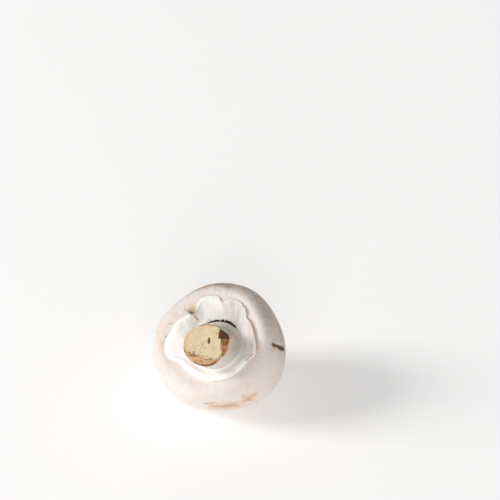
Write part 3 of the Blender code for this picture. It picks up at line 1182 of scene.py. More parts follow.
@dataclass
class Stalk:
    """The stalk from the crease at its foot to its cut, chipped end.

    A facet is the direction it faces, how far out it begins and its slope. A wrinkle is its first
    and last angle, its height at each and its strength.
    """

    foot: tuple[float, float, float] = (1.85, -1.7, 8.9)
    foot_r: float = 8.25
    lean: tuple[float, float] = (0.066, -0.229)
    radius: float = 6.8
    flare: float = 1.45
    flare_run: float = 1.9
    foot_lift: tuple[Lobe, ...] = (
        Lobe(288.0, 62.0, 1.75),
        Lobe(205.0, 34.0, 0.5),
        Lobe(338.0, 30.0, 0.55),
    )
    lobes: tuple[Lobe, ...] = (
        Lobe(36.0, 15.0, 0.11),
        Lobe(120.0, 38.0, -0.055),
        Lobe(215.0, 30.0, 0.015),
        Lobe(322.0, 14.0, -0.035),
    )
    end_z: float = 22.5
    facets: tuple[tuple[float, float, float], ...] = (
        (18.6, 5.0, 46.0),
        (264.6, 4.25, 36.0),
        (289.0, 4.4, 30.0),
    )
    notch_at: tuple[float, float] = (5.9, 5.35)
    notch_size: tuple[float, float] = (5.0, 4.8)
    notch_deep: float = 1.5
    notch_slope: float = 28.0
    split_at: tuple[float, float] = (0.9, 1.53)
    split_angle: float = 103.0
    split_long: float = 1.9
    split_wide: float = 0.65
    split_deep: float = 2.6
    wrinkles: tuple[tuple[float, float, float, float, float], ...] = (
        (47.0, 81.0, 14.4, 12.1, 1.0),
        (30.0, 47.0, 17.6, 19.6, 0.4),
    )
    columns: int = 600
    flank_rings: int = 78
    end_rings: int = 66

    def end_axes(self) -> np.ndarray:
        """Axes of the cut end.

        Returns:
            Unit vectors across, up and along the stalk, one to a row.
        """
        along = np.array([self.lean[0], self.lean[1], 1.0])
        along = along / np.linalg.norm(along)
        across = np.array([1.0, 0.0, 0.0]) - along * along[0]
        across = across / np.linalg.norm(across)
        return np.stack([across, np.cross(along, across), along])

    def axis_at(
        self, height: np.ndarray | float
    ) -> tuple[np.ndarray | float, np.ndarray | float]:
        """Where the stalk's axis stands at a height, as x and y."""
        up = height - self.foot[2]
        return self.foot[0] + self.lean[0] * up, self.foot[1] + self.lean[1] * up

    def end_centre(self) -> np.ndarray:
        """Centre of the cut end."""
        return np.array([*self.axis_at(self.end_z), self.end_z])

    def crease(self, phi: np.ndarray) -> tuple[np.ndarray, np.ndarray]:
        """Where the flank ends in the veil.

        Args:
            phi: Angles round the stalk's foot.

        Returns:
            The crease's radius and its height, at each angle.
        """
        lift = lobed(phi, 0.0, self.foot_lift)
        narrower = self.flare * (1.0 - np.exp(-lift / self.flare_run))
        return self.foot_r - narrower, self.foot[2] + lift

    def radius_at(self, phi: np.ndarray, height: np.ndarray) -> np.ndarray:
        """Radius of the flank.

        Args:
            phi: Angles round the axis.
            height: Heights on it.

        Returns:
            The radius at each of them.
        """
        up = height - self.foot[2]
        plain = self.radius + self.flare * np.exp(-up / self.flare_run)
        return plain * (1.0 + lobed(phi, 0.0, self.lobes) * np.clip(up / 6.0, 0.2, 1.0))

    def depth_masks(self, across: np.ndarray, up: np.ndarray) -> tuple[np.ndarray, Masks]:
        """The cut end as a height over its plane, with the masks of its browned places.

        Args:
            across: First coordinate on the end, from its centre.
            up: Second coordinate on it.

        Returns:
            The height, and masks named chip, bevel, bevel_right, notch, split and pits.
        """
        place = np.stack([across, up, 0.0 * across], axis=-1)
        worn = rough(place, 1.6, 31, 4)
        height = 0.05 * rough(place, 3.0, 5, 3) + 0.035 * rough(place, 0.5, 8, 2)
        flat = height.copy()
        masks = {}
        for label, (angle, out, slope) in zip(("chip", "bevel", "bevel_right"), self.facets):
            turn = math.radians(angle)
            beyond = across * math.cos(turn) + up * math.sin(turn) - out + 0.16 * worn
            fall = -beyond * math.tan(math.radians(slope)) + 0.12 * rough(place, 0.8, 52, 3)
            eased = fall if label == "chip" else fall * ease(beyond, -0.1, 1.2)
            masks[label] = ease(beyond, -0.05, 0.3 if label == "chip" else 0.9)
            lowered = np.minimum(height, flat + np.minimum(eased, 0.0))
            height = np.where(beyond > 0.0, lowered, height)
        left = self.notch_at[0] - self.notch_size[0] / 2.0
        low = self.notch_at[1] - self.notch_size[1] / 2.0
        inside = ease(across + 0.25 * worn, left - 0.12, left + 0.2)
        inside = inside * ease(up - 0.3 * worn, low - 0.2, low + 0.25)
        fall = (across - self.notch_at[0]) * math.tan(math.radians(self.notch_slope))
        floor = -self.notch_deep - fall
        floor = floor + 0.22 * rough(place, 0.9, 77, 3)
        height = height + inside * np.minimum(floor - height, 0.0)
        masks["notch"] = inside
        turn = math.radians(self.split_angle)
        off_x, off_y = across - self.split_at[0], up - self.split_at[1]
        far = (off_x * math.cos(turn) + off_y * math.sin(turn)) / (self.split_long / 2.0)
        side = (-off_x * math.sin(turn) + off_y * math.cos(turn)) / (self.split_wide / 2.0)
        gap = ease(np.sqrt(far**2 + side**2) + 0.1 * rough(place, 0.4, 9, 2), 1.12, 0.8)
        height = height - self.split_deep * gap
        pits = ease(value_noise(place, 0.42, 91), 0.55, 0.85)
        pits = pits * ease(value_noise(place, 2.6, 15), -0.1, 0.5)
        height = height - 0.12 * pits
        masks["split"] = gap
        masks["pits"] = pits
        return height, masks

    def browned_and_shaded(self, across: np.ndarray, up: np.ndarray, masks: Masks) -> Masks:
        """Turns the cut end's places into masks of colour, the notch and the chip's top dark partly
        as painted shade.

        Args:
            across: First coordinate on the end.
            up: Second coordinate on it.
            masks: The masks of its places.

        Returns:
            Masks named as the finishes read them.
        """
        place = np.stack([across, up, 0.0 * across], axis=-1)
        blotch = 0.5 + 0.5 * rough(place, 1.1, 64, 4)
        stretched = place * np.array([1.0, 0.28, 1.0])
        streak = 0.5 + 0.5 * rough(stretched, 0.55, 66, 3)
        bevel = np.maximum(masks["bevel"], masks["bevel_right"])
        reach = np.sqrt(across**2 + up**2)
        rim = ease(reach + 0.35 * rough(place, 1.3, 71, 3), 6.15, 6.75)
        stains = mark_masks(place, END_MARKS)
        # The chip darkens in streaks and towards its top by the notch, and the notch is dark brown:
        # partly soil stain, partly painted shade of the hollow.
        dark = masks["chip"] * (0.45 * ease(streak, 0.6, 0.9) + 0.4 * ease(up, 1.4, 2.8))
        rust = rim * ease(up, -1.0, -3.5) * (0.35 + 0.8 * blotch)
        brown = np.maximum(stains["brown"], masks["notch"] * (0.9 + 0.2 * streak))
        tan = 0.14 * ease(blotch, 0.4, 1.0) + 0.1 * ease(across, 0.5, -3.5)
        return {
            "chip": masks["chip"] * (0.85 + 0.3 * blotch),
            "bevel": bevel * (0.55 + 0.6 * blotch),
            "edge": 0.25 * rim * blotch + 0.95 * rust,
            "brown": brown + masks["split"] + 0.5 * dark,
            "grey": np.maximum(0.3 * masks["pits"], stains["grey"]),
            "tan": tan + stains["tan"],
            "blush": stains["blush"],
        }

    def flank(self) -> tuple[RingGrid, np.ndarray]:
        """The stalk's side, from its rim down to the crease.

        Returns:
            The grid, and each column's place on the cut end.
        """
        phi = angles(self.columns)
        out = self.radius_at(phi, np.full(phi.shape, self.end_z))
        spoke = ring_points(phi, out, 0.0)
        across, up, along = (spoke @ self.end_axes().T).T
        height, _ = self.depth_masks(across, up)
        tilt = math.sqrt(1.0 + self.lean[0] ** 2 + self.lean[1] ** 2)
        rim_z = self.end_z + (height - along) / tilt
        foot_r, crease_z = self.crease(phi)
        foot_z = crease_z - 0.1
        part = np.linspace(0.0, 1.0, self.flank_rings) ** 0.9
        z = rim_z[None] + (foot_z - rim_z[None]) * part[:, None]
        radius = self.radius_at(phi[None], z)
        radius[-1] = foot_r
        radius[-2] = 0.5 * (radius[-3] + foot_r)
        points = ring_points(phi, radius, z, self.axis_at(z))
        grain = grain_of(points, phi, 26.0, 0.16)
        relief = 0.05 * rough(grain, 0.9, 3, 3) + 0.09 * rough(points, 3.4, 12, 2)
        wrinkle = self.wrinkle(phi, z)
        relief = relief - 0.34 * wrinkle
        relief = relief * ease(part, 1.0, 0.93)[:, None] * ease(part, 0.0, 0.02)[:, None]
        points = points + normals(points) * relief[..., None]
        near_end = np.exp(-(rim_z[None] - z) / 0.9)
        patch = ease(rough(points, 1.8, 44, 3), -0.1, 0.6)
        streak = ease(rough(grain, 1.1, 49, 2), 0.2, 0.8)
        blotch = ease(rough(points, 0.9, 45, 3), 0.1, 0.8)
        speck = ease(rough(points, 0.7, 46, 2), 0.75, 1.0)
        # Painted shade: grey on the flank's right side, strongest low down towards the foot.
        shade = Lobe(22.0, 34.0, 1.0).at(phi)[None]
        masks = {
            "tan": 0.75 * near_end * patch + 0.3 * streak * ease(z, 13.0, 20.0),
            "brown": 0.5 * near_end * blotch + 0.6 * wrinkle,
            "grey": 0.5 * speck * ease(z, 11.0, 18.0) + 0.2 * shade * ease(z, 18.0, 13.0),
            "blush": 0.3 * patch,
        }
        return RingGrid(points, masks, grain), np.stack([across, up], axis=-1)

    def wrinkle(self, phi: np.ndarray, z: np.ndarray) -> np.ndarray:
        """The thin fold on the flank by the slot, and a fainter one beside it.

        Args:
            phi: The columns' angles.
            z: Each point's height.

        Returns:
            How near each point is to one of them, from 0 to 1.
        """
        turn = np.degrees(phi)[None]
        total = 0.0 * z
        for start, end, first, last, strength in self.wrinkles:
            part = (turn - start) / (end - start)
            middle = first + (last - first) * part
            line = bell(z, middle, 0.5)
            total = total + strength * line * ease(part, -0.1, 0.2) * ease(part, 1.1, 0.8)
        return np.clip(total, 0.0, 1.0)

    def cut_end(self, rim: np.ndarray) -> RingGrid:
        """The cut face, from its rim in to its centre.

        Args:
            rim: Each column's place on the end, as the flank gives it.

        Returns:
            The grid, its rings running outward from the centre.
        """
        part = np.linspace(1.0 / self.end_rings, 1.0, self.end_rings)[:, None]
        across, up = rim[None, :, 0] * part, rim[None, :, 1] * part
        height, places = self.depth_masks(across, up)
        axes = self.end_axes()
        points = (
            self.end_centre()
            + across[..., None] * axes[0]
            + up[..., None] * axes[1]
            + height[..., None] * axes[2]
        )
        centre_height, _ = self.depth_masks(np.zeros(1), np.zeros(1))
        tip = self.end_centre() + centre_height[0] * axes[2]
        return RingGrid(points, self.browned_and_shaded(across, up, places), points * 0.8, tip)


@dataclass
class Veil:
    """The torn veil from the crease at the stalk's foot out to its edge.

    The edge's corners and the fold's are angles and radii. A crease step is its distance from
    the stalk and its depth, and steps cut each gap between two control rings.
    """

    stalk: Stalk
    edge_r: float = 13.95
    edge_corners: Corners = (
        (1.7, 15.5), (9.4, 14.75), (22.0, 13.95), (35.6, 13.6), (42.5, 13.05), (46.5, 13.1),
        (50.3, 13.75), (55.0, 14.35), (63.0, 14.7), (70.0, 14.6), (75.7, 14.3), (84.8, 13.2),
        (88.0, 12.1), (91.5, 12.8), (96.0, 13.5), (101.4, 13.9), (108.0, 14.15), (114.1, 14.2),
        (122.4, 13.75), (127.0, 13.1), (131.0, 12.1), (136.0, 11.5), (142.0, 11.3),
        (148.0, 11.3), (153.0, 11.5), (157.6, 11.9), (165.7, 12.9), (173.0, 13.1),
        (181.7, 13.25), (188.0, 14.0), (193.8, 14.7), (204.5, 15.2), (212.0, 15.2),
        (218.2, 14.9), (224.0, 14.1), (229.0, 13.0), (234.0, 12.4), (244.2, 12.5),
        (259.4, 12.65), (267.0, 13.0), (274.7, 13.35), (286.0, 13.7), (300.4, 14.0),
        (315.6, 14.2), (328.5, 14.25), (337.0, 14.1), (343.6, 14.3), (347.0, 14.7),
        (352.5, 15.25), (356.0, 15.6),
    )
    lip: float = 0.64
    lip_lobes: tuple[Lobe, ...] = (
        Lobe(275.0, 40.0, 0.16),
        Lobe(0.0, 16.0, 0.2),
        Lobe(196.0, 34.0, -0.5),
        Lobe(232.0, 14.0, -0.3),
        Lobe(140.0, 21.0, -0.66),
        Lobe(87.5, 6.0, -0.5),
        Lobe(46.0, 5.0, -0.3),
    )
    lip_least: float = 0.05
    rim_z: float = 11.0
    tear_angle: float = 144.0
    tear_width: float = 12.0
    tear_depth: float = 0.7
    swellings: tuple[Lobe, ...] = (Lobe(200.0, 36.0, 1.0), Lobe(288.0, 60.0, 1.0))
    crease_wide: float = 0.3
    slot_from: float = 67.5
    slot_to: float = 119.0
    slot_wide: float = 0.5
    slot_deep: float = 4.2
    slot_teeth: tuple[Lobe, ...] = (
        Lobe(99.6, 1.5, 0.6),
        Lobe(89.6, 1.4, 0.6),
        Lobe(105.5, 1.4, 0.2),
        Lobe(83.0, 1.1, 0.3),
        Lobe(76.5, 1.0, 0.2),
        Lobe(112.5, 1.6, 0.2),
    )
    crease_steps: Corners = ((0.13, 0.14), (0.28, 0.23), (0.46, 0.28), (0.64, 0.28), (0.84, 0.24))
    fold: Corners = ((352.8, 14.7), (349.4, 14.35), (346.2, 14.15), (343.4, 14.1))
    steps: tuple[int, ...] = (8, 4, 5, 8, 3, 3, 9, 10, 10, 9, 7, 8, 6, 6, 6, 6)
    columns: int = 840

    def smooth_edge(self, phi: np.ndarray) -> np.ndarray:
        """Radius of the veil's edge, without its fine tears."""
        return drawn_round(phi, self.edge_corners, 3.2)

    def edge(self, phi: np.ndarray) -> np.ndarray:
        """Radius of the veil's torn edge.

        Args:
            phi: The columns' angles.

        Returns:
            The radius at each.
        """
        ring = ring_points(phi, self.edge_r, 0.0)
        ragged = 0.16 * rough(ring, 2.4, 21, 2) + 0.07 * rough(ring, 0.7, 22, 2)
        return self.smooth_edge(phi) + ragged

    def lip_height(self, phi: np.ndarray) -> np.ndarray:
        """Height of the torn edge over the cap's edge.

        Args:
            phi: The columns' angles.

        Returns:
            The height at each.
        """
        ring = ring_points(phi, self.edge_r, 0.0)
        uneven = 1.0 + 0.22 * rough(ring, 2.0, 23, 3)
        return np.maximum(lobed(phi, self.lip, self.lip_lobes) * uneven, self.lip_least)

    def slot_open(self, phi: np.ndarray) -> np.ndarray:
        """How far the slot at the stalk's foot is open.

        Args:
            phi: The columns' angles.

        Returns:
            A value from 0, shut, to 1, open.
        """
        angle = np.degrees(phi) % 360.0
        opens = 1.0 / (1.0 + np.exp((self.slot_from - angle) / 2.5))
        closes = 1.0 / (1.0 + np.exp((angle - self.slot_to) / 4.5))
        return opens * closes

    def full(self, phi: np.ndarray) -> np.ndarray:
        """How far the veil swells instead of being dished: 0 to 1."""
        return np.clip(lobed(phi, 0.0, self.swellings), 0.0, 1.0)

    def crease_rings(self, phi: np.ndarray) -> list[Ring]:
        """Control rings of the crease round the stalk's foot, with the ragged slot in it.

        Args:
            phi: The columns' angles.

        Returns:
            Each ring's radius, its height and its centre's x and y, from the stalk outward.
        """
        slot = self.slot_open(phi)
        ring = ring_points(phi, 9.0, 0.0)
        thick = 0.5 + 0.65 * ease(np.degrees(phi), 112.0, 84.0)
        teeth = 0.1 * rough(ring, 0.7, 61, 2) - lobed(phi, 0.0, self.slot_teeth)
        wide = np.maximum(self.crease_wide + (self.slot_wide * thick + teeth) * slot, 0.22)
        deep = self.slot_deep
        base, z = self.stalk.crease(phi)
        torn = [
            (base - 0.3, z - 0.05 - 0.9 * deep),
            (base + 0.6, z - deep),
            (base + 1.82, z - 0.05 - 0.8 * deep),
            (base + wide + 0.25, z - 0.47),
            (base + wide, z + 0.18),
        ]
        shallow = 1.0 - 0.55 * self.full(phi)
        x, y = self.stalk.axis_at(z)
        rings = [(base, z - 0.1, x, y)]
        for (torn_r, torn_z), (out, down) in zip(torn, self.crease_steps):
            whole_r, whole_z = base + out, z - 0.1 - down * shallow
            radius = whole_r + (torn_r - whole_r) * slot
            rings.append((radius, whole_z + (torn_z - whole_z) * slot, x, y))
        return rings

    def veil_rings(self, phi: np.ndarray) -> list[Ring]:
        """Control rings from the crease out to the foot of the torn edge.

        Args:
            phi: The columns' angles.

        Returns:
            Each ring's radius, its height and its centre's x and y.
        """
        slot = self.slot_open(phi)
        edge = self.edge(phi)
        plain = self.smooth_edge(phi)
        lip = self.lip_height(phi)
        tear = Lobe(self.tear_angle, self.tear_width, self.tear_depth).at(phi)
        foot_r, foot_z = self.stalk.crease(phi)
        inner_r = foot_r + 1.1
        full = self.full(phi)
        inner_z = foot_z - 0.22 + 0.47 * slot + 0.14 * full * (1.0 - slot)
        broad = lobed(phi, 0.0, (Lobe(275.0, 46.0, 1.0), Lobe(200.0, 30.0, 0.6)))
        outer_r = plain - 1.15 - 0.5 * np.clip(broad, 0.0, 1.0)
        outer_z = self.rim_z + 0.82 * lip - 0.1 + (0.1 + 0.1 * lip) * full
        x, y = self.stalk.axis_at(foot_z)
        rings = []
        for part in (0.0, 0.2, 0.42, 0.64, 0.84):
            radius = inner_r + (outer_r - inner_r) * part
            dished = 0.35 * part + 0.65 * part**1.9
            rise = dished + (part**0.82 - dished) * full
            z = inner_z + (outer_z - inner_z) * rise - tear * math.sin(math.pi * part) ** 0.8
            rings.append((radius, z, x * (1.0 - part), y * (1.0 - part)))
        rings.append((outer_r, outer_z - 0.3 * tear, 0.0, 0.0))
        rings.append((edge - 0.6, self.rim_z + 0.98 * lip, 0.0, 0.0))
        rings.append((edge - 0.25, self.rim_z + lip, 0.0, 0.0))
        rings.append((edge, self.rim_z + 0.74 * lip, 0.0, 0.0))
        rings.append((edge - 0.12 * lip, self.rim_z + 0.3 * lip, 0.0, 0.0))
        rings.append((plain + 0.12, self.rim_z - 0.12 * ease(lip, 0.2, 0.6), 0.0, 0.0))
        return rings

    def fold_line(self, points: np.ndarray) -> np.ndarray:
        """How near each point is to the fold at the flap's lower corner.

        Args:
            points: Points on the veil.

        Returns:
            A value from 0, far, to 1, on it.
        """
        turn = np.radians([corner[0] for corner in self.fold])
        radius = np.array([corner[1] for corner in self.fold])
        path = ring_points(turn, radius, 0.0)[:, :2]
        return bell(path_distance(points[..., :2], path), 0.0, 0.24)

    def groove_line(self, phi: np.ndarray, radius: np.ndarray, edge: np.ndarray) -> np.ndarray:
        """How near each point is to the groove inside the turned-over flap.

        Args:
            phi: The columns' angles.
            radius: Each point's distance from the axis.
            edge: The edge's radius at each column.

        Returns:
            A value from 0, far, to 1, in it.
        """
        turn = signed_degrees(phi)
        within = ease(turn, 1.0, 7.0) * ease(turn, 30.0, 22.0)
        inset = 1.65 + 0.4 * ease(turn, 2.0, 14.0)
        return within * bell(radius - edge[None] + inset, 0.0, 0.26)

    def flap(self, phi: np.ndarray, radius: np.ndarray, edge: np.ndarray) -> np.ndarray:
        """Relief of the turned-over flap on the right.

        Args:
            phi: The columns' angles.
            radius: Each point's distance from the axis.
            edge: The edge's radius at each column.

        Returns:
            How far the surface rises or sinks.
        """
        turn = signed_degrees(phi)
        within = ease(turn, -6.0, 1.0) * ease(turn, 42.0, 33.0)
        roll = bell(radius - edge[None], -0.95, 0.7)
        return 0.26 * within * roll - 0.5 * self.groove_line(phi, radius, edge)

    def first_bowl(self) -> int:
        """Number of the first ring outside the crease."""
        return sum(self.steps[:6])

    def free(self, count: int) -> np.ndarray:
        """How far each ring may rise: not in the crease, nor at the lip's foot.

        Args:
            count: How many rings there are.

        Returns:
            A value from 0 to 1 for each ring.
        """
        free = np.ones(count)
        free[: self.first_bowl() - 3] = 0.0
        free = np.convolve(np.pad(free, 3, mode="edge"), np.ones(7) / 7.0, mode="valid")
        free[-1] = 0.0
        free[-2] = 0.5
        return free

    def relief(self, phi: np.ndarray, smooth: np.ndarray, streaks: np.ndarray) -> np.ndarray:
        """The fine relief: fibrils, gill prints, unevenness, the flap and the fold.

        Args:
            phi: The columns' angles.
            smooth: The veil's points without it.
            streaks: The fibrils' noise.

        Returns:
            How far each point rises or sinks.
        """
        radius = np.hypot(smooth[..., 0], smooth[..., 1])
        edge = self.smooth_edge(phi)
        inner = ease(edge[None] - radius, -0.1, 1.2)
        gill_prints = np.sin(phi * 118.0 + 2.2 * value_noise(smooth, 3.0, 14))
        upper = ease(np.cos(phi - math.radians(70.0)), -0.3, 0.8)[None]
        ribbed = 0.25 + 0.75 * upper
        relief = (0.014 * streaks * ribbed + 0.006 * gill_prints * upper) * inner
        relief = relief + 0.09 * rough(smooth, 2.6, 13, 3) + 0.016 * rough(smooth, 0.5, 19, 2)
        relief = relief + self.flap(phi, radius, edge) - 0.45 * self.fold_line(smooth)
        return relief * self.free(len(smooth))[:, None]

    def colours(
        self, phi: np.ndarray, points: np.ndarray, smooth: np.ndarray, streaks: np.ndarray
    ) -> Masks:
        """The veil's marks, tan slot lips, and painted shade in slot and groove, by its edge, right
        and foot.

        Args:
            phi: The columns' angles.
            points: The finished veil's points.
            smooth: The same points without the relief.
            streaks: The fibrils' noise.

        Returns:
            The masks, named as the finishes read them.
        """
        masks = mark_masks(points, TEAR_MARKS + PHOTO_SIDE_MARKS)
        turn = signed_degrees(phi)
        radius = np.hypot(smooth[..., 0], smooth[..., 1])
        edge = self.smooth_edge(phi)
        off = radius - edge[None]
        slot = self.slot_open(phi)
        cream = ease(turn, -14.0, -2.0) * ease(turn, 46.0, 36.0) * bell(off, -0.85, 0.85)
        scallop = Lobe(88.0, 34.0, 1.0).at(phi)[None] * bell(off, -0.45, 0.5)
        masks["blush"] = np.maximum(masks["blush"], 0.5 * cream + 0.45 * scallop)

        # Painted shade: grey on the veil's upper right and right, where the stalk shades it.
        shaded = lobed(phi, 0.0, (Lobe(64.0, 28.0, 0.42), Lobe(14.0, 22.0, 0.22)))[None]
        shaded = shaded * (0.88 + 0.24 * ease(streaks, -0.2, 0.8))
        foot_x, foot_y, _ = self.stalk.foot
        from_foot = np.hypot(points[..., 0] - foot_x, points[..., 1] - foot_y)
        from_foot = np.maximum(from_foot - self.stalk.crease(phi)[0][None], 0.0)
        # Painted shade: grey fading out from the stalk's foot, strongest on the right, in the
        # valley between stalk and veil.
        foot_shade = lobed(phi, 0.06, (Lobe(30.0, 36.0, 0.2),))[None] * bell(from_foot, 0.0, 1.7)
        inner = ease(edge[None] - radius, -0.1, 1.2)
        masks["grey"] = np.maximum(masks["grey"], shaded * inner + 0.9 * foot_shade)

        # Painted shadow: a thin tan and brown line just outside the raised edge of the flap and the
        # scallops.
        flap_edge_shadow = ease(turn, -10.0, 0.0) * ease(turn, 66.0, 52.0) * bell(off, 0.05, 0.2)
        # Painted shade: brown on the walls of the open slot and in the flap's groove; the fold line
        # is darkened brown too.
        deep = np.zeros(len(points))
        deep[: self.first_bowl() - 4] = 1.0
        brown = 0.36 * self.fold_line(smooth) + 0.2 * self.groove_line(phi, radius, edge)
        brown = brown + 0.1 * flap_edge_shadow + 0.95 * deep[:, None] * slot[None]
        masks["brown"] = masks["brown"] + brown

        corner = ease(turn, -20.0, -15.0) * ease(turn, -5.0, -9.0) * bell(off, -0.35, 0.8)
        masks["tan"] = np.maximum(masks["tan"], 0.8 * flap_edge_shadow + 0.3 * corner)
        thin = ease(np.degrees(phi) % 360.0, 112.0, 132.0) * slot
        lips = np.zeros(len(points))
        lips[self.first_bowl() - 4 : self.first_bowl() + 5] = 1.0
        masks["tan"] = np.maximum(masks["tan"], 0.7 * lips[:, None] * thin[None])
        return masks

    def build_grid(self) -> RingGrid:
        """Builds the veil's rings with its relief and masks.

        Returns:
            The grid, whose rings run from the crease outward.
        """
        phi = angles(self.columns)
        rings = self.crease_rings(phi) + self.veil_rings(phi)
        control = np.stack([ring_points(phi, r, z, (x, y)) for r, z, x, y in rings])
        smooth = drawn_through(control, self.steps)
        grain = grain_of(smooth, phi, 30.0, 0.2)
        streaks = rough(grain, 1.0, 11, 2)
        points = smooth + normals(smooth) * self.relief(phi, smooth, streaks)[..., None]
        return RingGrid(points, self.colours(phi, points, smooth, streaks), grain)


@dataclass
class Cap:
    """The cap from under the veil's edge over its skirt to the dome's top.

    A wave is how often it goes round, its size and its crest's angle. A dent is its centre's
    angle, radius and height, its width and its depth.
    """

    veil: Veil
    radius: float = 20.76
    dome: float = DOME_DEEP
    skirt: float = 11.0
    dome_fullness: float = DOME_FULL
    skirt_fullness: float = 2.25
    margin_r: float = 15.9
    waves: tuple[tuple[int, float, float], ...] = (
        (1, 0.022, 318.0),
        (2, 0.02, 26.0),
        (3, 0.021, 93.0),
        (4, 0.012, 79.0),
    )
    nick_angle: float = 10.5
    nick_z: float = 4.7
    nick_long: float = 7.2
    nick_wide: float = 1.4
    nick_deep: float = 0.6
    columns: int = 720
    dents: tuple[tuple[float, float, float, float, float], ...] = (
        (236.0, 17.0, -8.0, 4.5, 0.3),
        (40.0, 15.0, -11.0, 5.0, 0.28),
        (120.0, 18.5, -6.5, 4.0, 0.3),
        (196.0, 9.0, -15.0, 4.2, 0.22),
        (330.0, 19.5, -4.0, 3.6, 0.2),
        (84.0, 6.0, -16.0, 3.5, 0.2),
    )
    folds: tuple[Lobe, ...] = (Lobe(89.2, 1.5, 1.0), Lobe(83.2, 1.6, 0.9), Lobe(98.0, 1.8, 0.5))

    def widest(self, phi: np.ndarray) -> np.ndarray:
        """Radius of the cap's widest ring.

        Args:
            phi: The columns' angles.

        Returns:
            The radius at each.
        """
        scale = 1.0 + 0.0 * phi
        for waves, size, crest in self.waves:
            scale = scale + size * np.cos(waves * (phi - math.radians(crest)))
        return self.radius * scale

    def fullness(self, angle: float, power: float) -> float:
        """Stretch that turns a quarter circle into a fuller quarter curve."""
        return (math.sin(angle) ** power + math.cos(angle) ** power) ** (-1.0 / power)

    def rings(self, phi: np.ndarray) -> np.ndarray:
        """The cap's rings, from the foot of the veil's edge to near the dome's top.

        Args:
            phi: The columns' angles.

        Returns:
            Points, as ring, column and x, y, z.
        """
        edge = self.veil.smooth_edge(phi)
        margin = self.margin_r + 0.35 * (edge - self.veil.edge_r)
        widest = self.widest(phi)
        sunk = ease(self.veil.lip_height(phi), 0.2, 0.6)
        radii = [edge + 0.12] + [edge + part * (margin - edge) for part in (0.3, 0.55, 0.78)]
        heights = [self.skirt - depth * sunk for depth in (0.12, 0.16, 0.12, 0.03)]
        for degrees in np.linspace(90.0, 1.9, 48):
            turn = math.radians(degrees)
            full = self.fullness(turn, self.skirt_fullness)
            radii.append(margin + (widest - margin) * full * math.cos(turn))
            heights.append(self.skirt * full * math.sin(turn))
        for degrees in np.linspace(90.0, 0.9, 82):
            turn = math.radians(degrees)
            full = self.fullness(turn, self.dome_fullness)
            radii.append(widest * full * math.sin(turn))
            heights.append(-self.dome * full * math.cos(turn))
        return np.stack([ring_points(phi, r, z) for r, z in zip(radii, heights)])

    def nick(self, points: np.ndarray) -> np.ndarray:
        """Depth of the nick in the cap's side, with torn edges.

        Args:
            points: Points on the cap.

        Returns:
            The depth at each.
        """
        turn = math.radians(self.nick_angle)
        across = -points[..., 0] * math.sin(turn) + points[..., 1] * math.cos(turn)
        outward = points[..., 0] * math.cos(turn) + points[..., 1] * math.sin(turn)
        far = (points[..., 2] - self.nick_z) / (self.nick_long / 2.0)
        side = (across + 0.12 * far + 0.07 * rough(points, 1.1, 83, 2)) / (self.nick_wide / 2.0)
        reach = np.sqrt(far**2 + side**2)
        return self.nick_deep * ease(reach, 1.1, 0.45) * (outward > 0.0)

    def relief(self, phi: np.ndarray, smooth: np.ndarray, grain: np.ndarray) -> np.ndarray:
        """The relief: swellings, pleats and folds by the veil, dents and the nick.

        Args:
            phi: The columns' angles.
            smooth: The cap's points without it.
            grain: Their grain.

        Returns:
            How far each point rises or sinks.
        """
        outward = np.hypot(smooth[..., 0], smooth[..., 1])
        relief = 0.22 * rough(smooth, 9.0, 101, 2) + 0.05 * rough(smooth, 1.9, 103, 3)
        pleats = ease(smooth[..., 2], 7.5, 10.8) * rough(grain, 1.6, 104, 2)
        relief = relief + 0.06 * pleats + 0.015 * rough(grain, 0.8, 105, 2)
        folds = 0.16 * lobed(phi, 0.0, self.folds)[None]
        folds = folds * ease(outward, 13.0, 14.4) * ease(outward, 17.2, 15.4)
        relief = relief + folds * (smooth[..., 2] > 8.0)
        for angle, radius, height, width, depth in self.dents:
            centre = ring_points(np.radians([angle]), radius, height)[0]
            off = np.linalg.norm(smooth - centre, axis=-1) / width
            relief = relief - depth * np.exp(-(off**2) * 2.0)
        free = ease(np.arange(len(smooth), dtype=float), 0.0, 5.0)[:, None]
        return relief * free - self.nick(smooth)

    def colours(self, phi: np.ndarray, points: np.ndarray, smooth: np.ndarray) -> Masks:
        """The cap's marks, its crown, shoulder and side browned partly as painted shade, and grey
        painted shade.

        Args:
            phi: The columns' angles.
            points: The finished cap's points.
            smooth: The same points without the relief.

        Returns:
            The masks, named as the finishes read them.
        """
        masks = mark_masks(points, PHOTO_SIDE_MARKS + NICK_MARKS + TEAR_MARKS + dome_marks(7))
        around = np.degrees(phi)[None]
        outward = np.hypot(smooth[..., 0], smooth[..., 1])
        height = points[..., 2]
        # Tan here is partly the skin's own, partly painted shade of the upper rim and, on the side,
        # a painted yellowish reflection.
        upper = ease(around, 8.0, 40.0) * ease(around, 142.0, 118.0) * ease(outward, 15.4, 17.8)
        upper = upper * ease(height, -3.0, 3.0)
        flecked = ease(rough(points, 1.3, 111, 3), -0.2, 0.7)
        crown = Lobe(106.0, 24.0, 1.0).at(phi)[None]
        crown = crown * ease(height, 11.0, 9.6) * ease(height, 1.0, 8.8)
        shoulder = Lobe(62.0, 22.0, 1.0).at(phi)[None]
        shoulder = shoulder * ease(height, 7.0, 3.0) * ease(height, -7.0, 0.0)
        side = Lobe(27.0, 13.0, 1.0).at(phi)[None]
        side = side * ease(height, 7.0, 0.5) * ease(height, -6.0, 0.0)
        browned_and_shaded = crown * (0.54 + 0.34 * flecked) + shoulder * (0.14 + 0.2 * flecked)
        browned_and_shaded = browned_and_shaded + side * (0.34 + 0.2 * flecked)
        masks["tan"] = np.maximum(masks["tan"], upper * (0.14 + 0.18 * flecked) + browned_and_shaded)
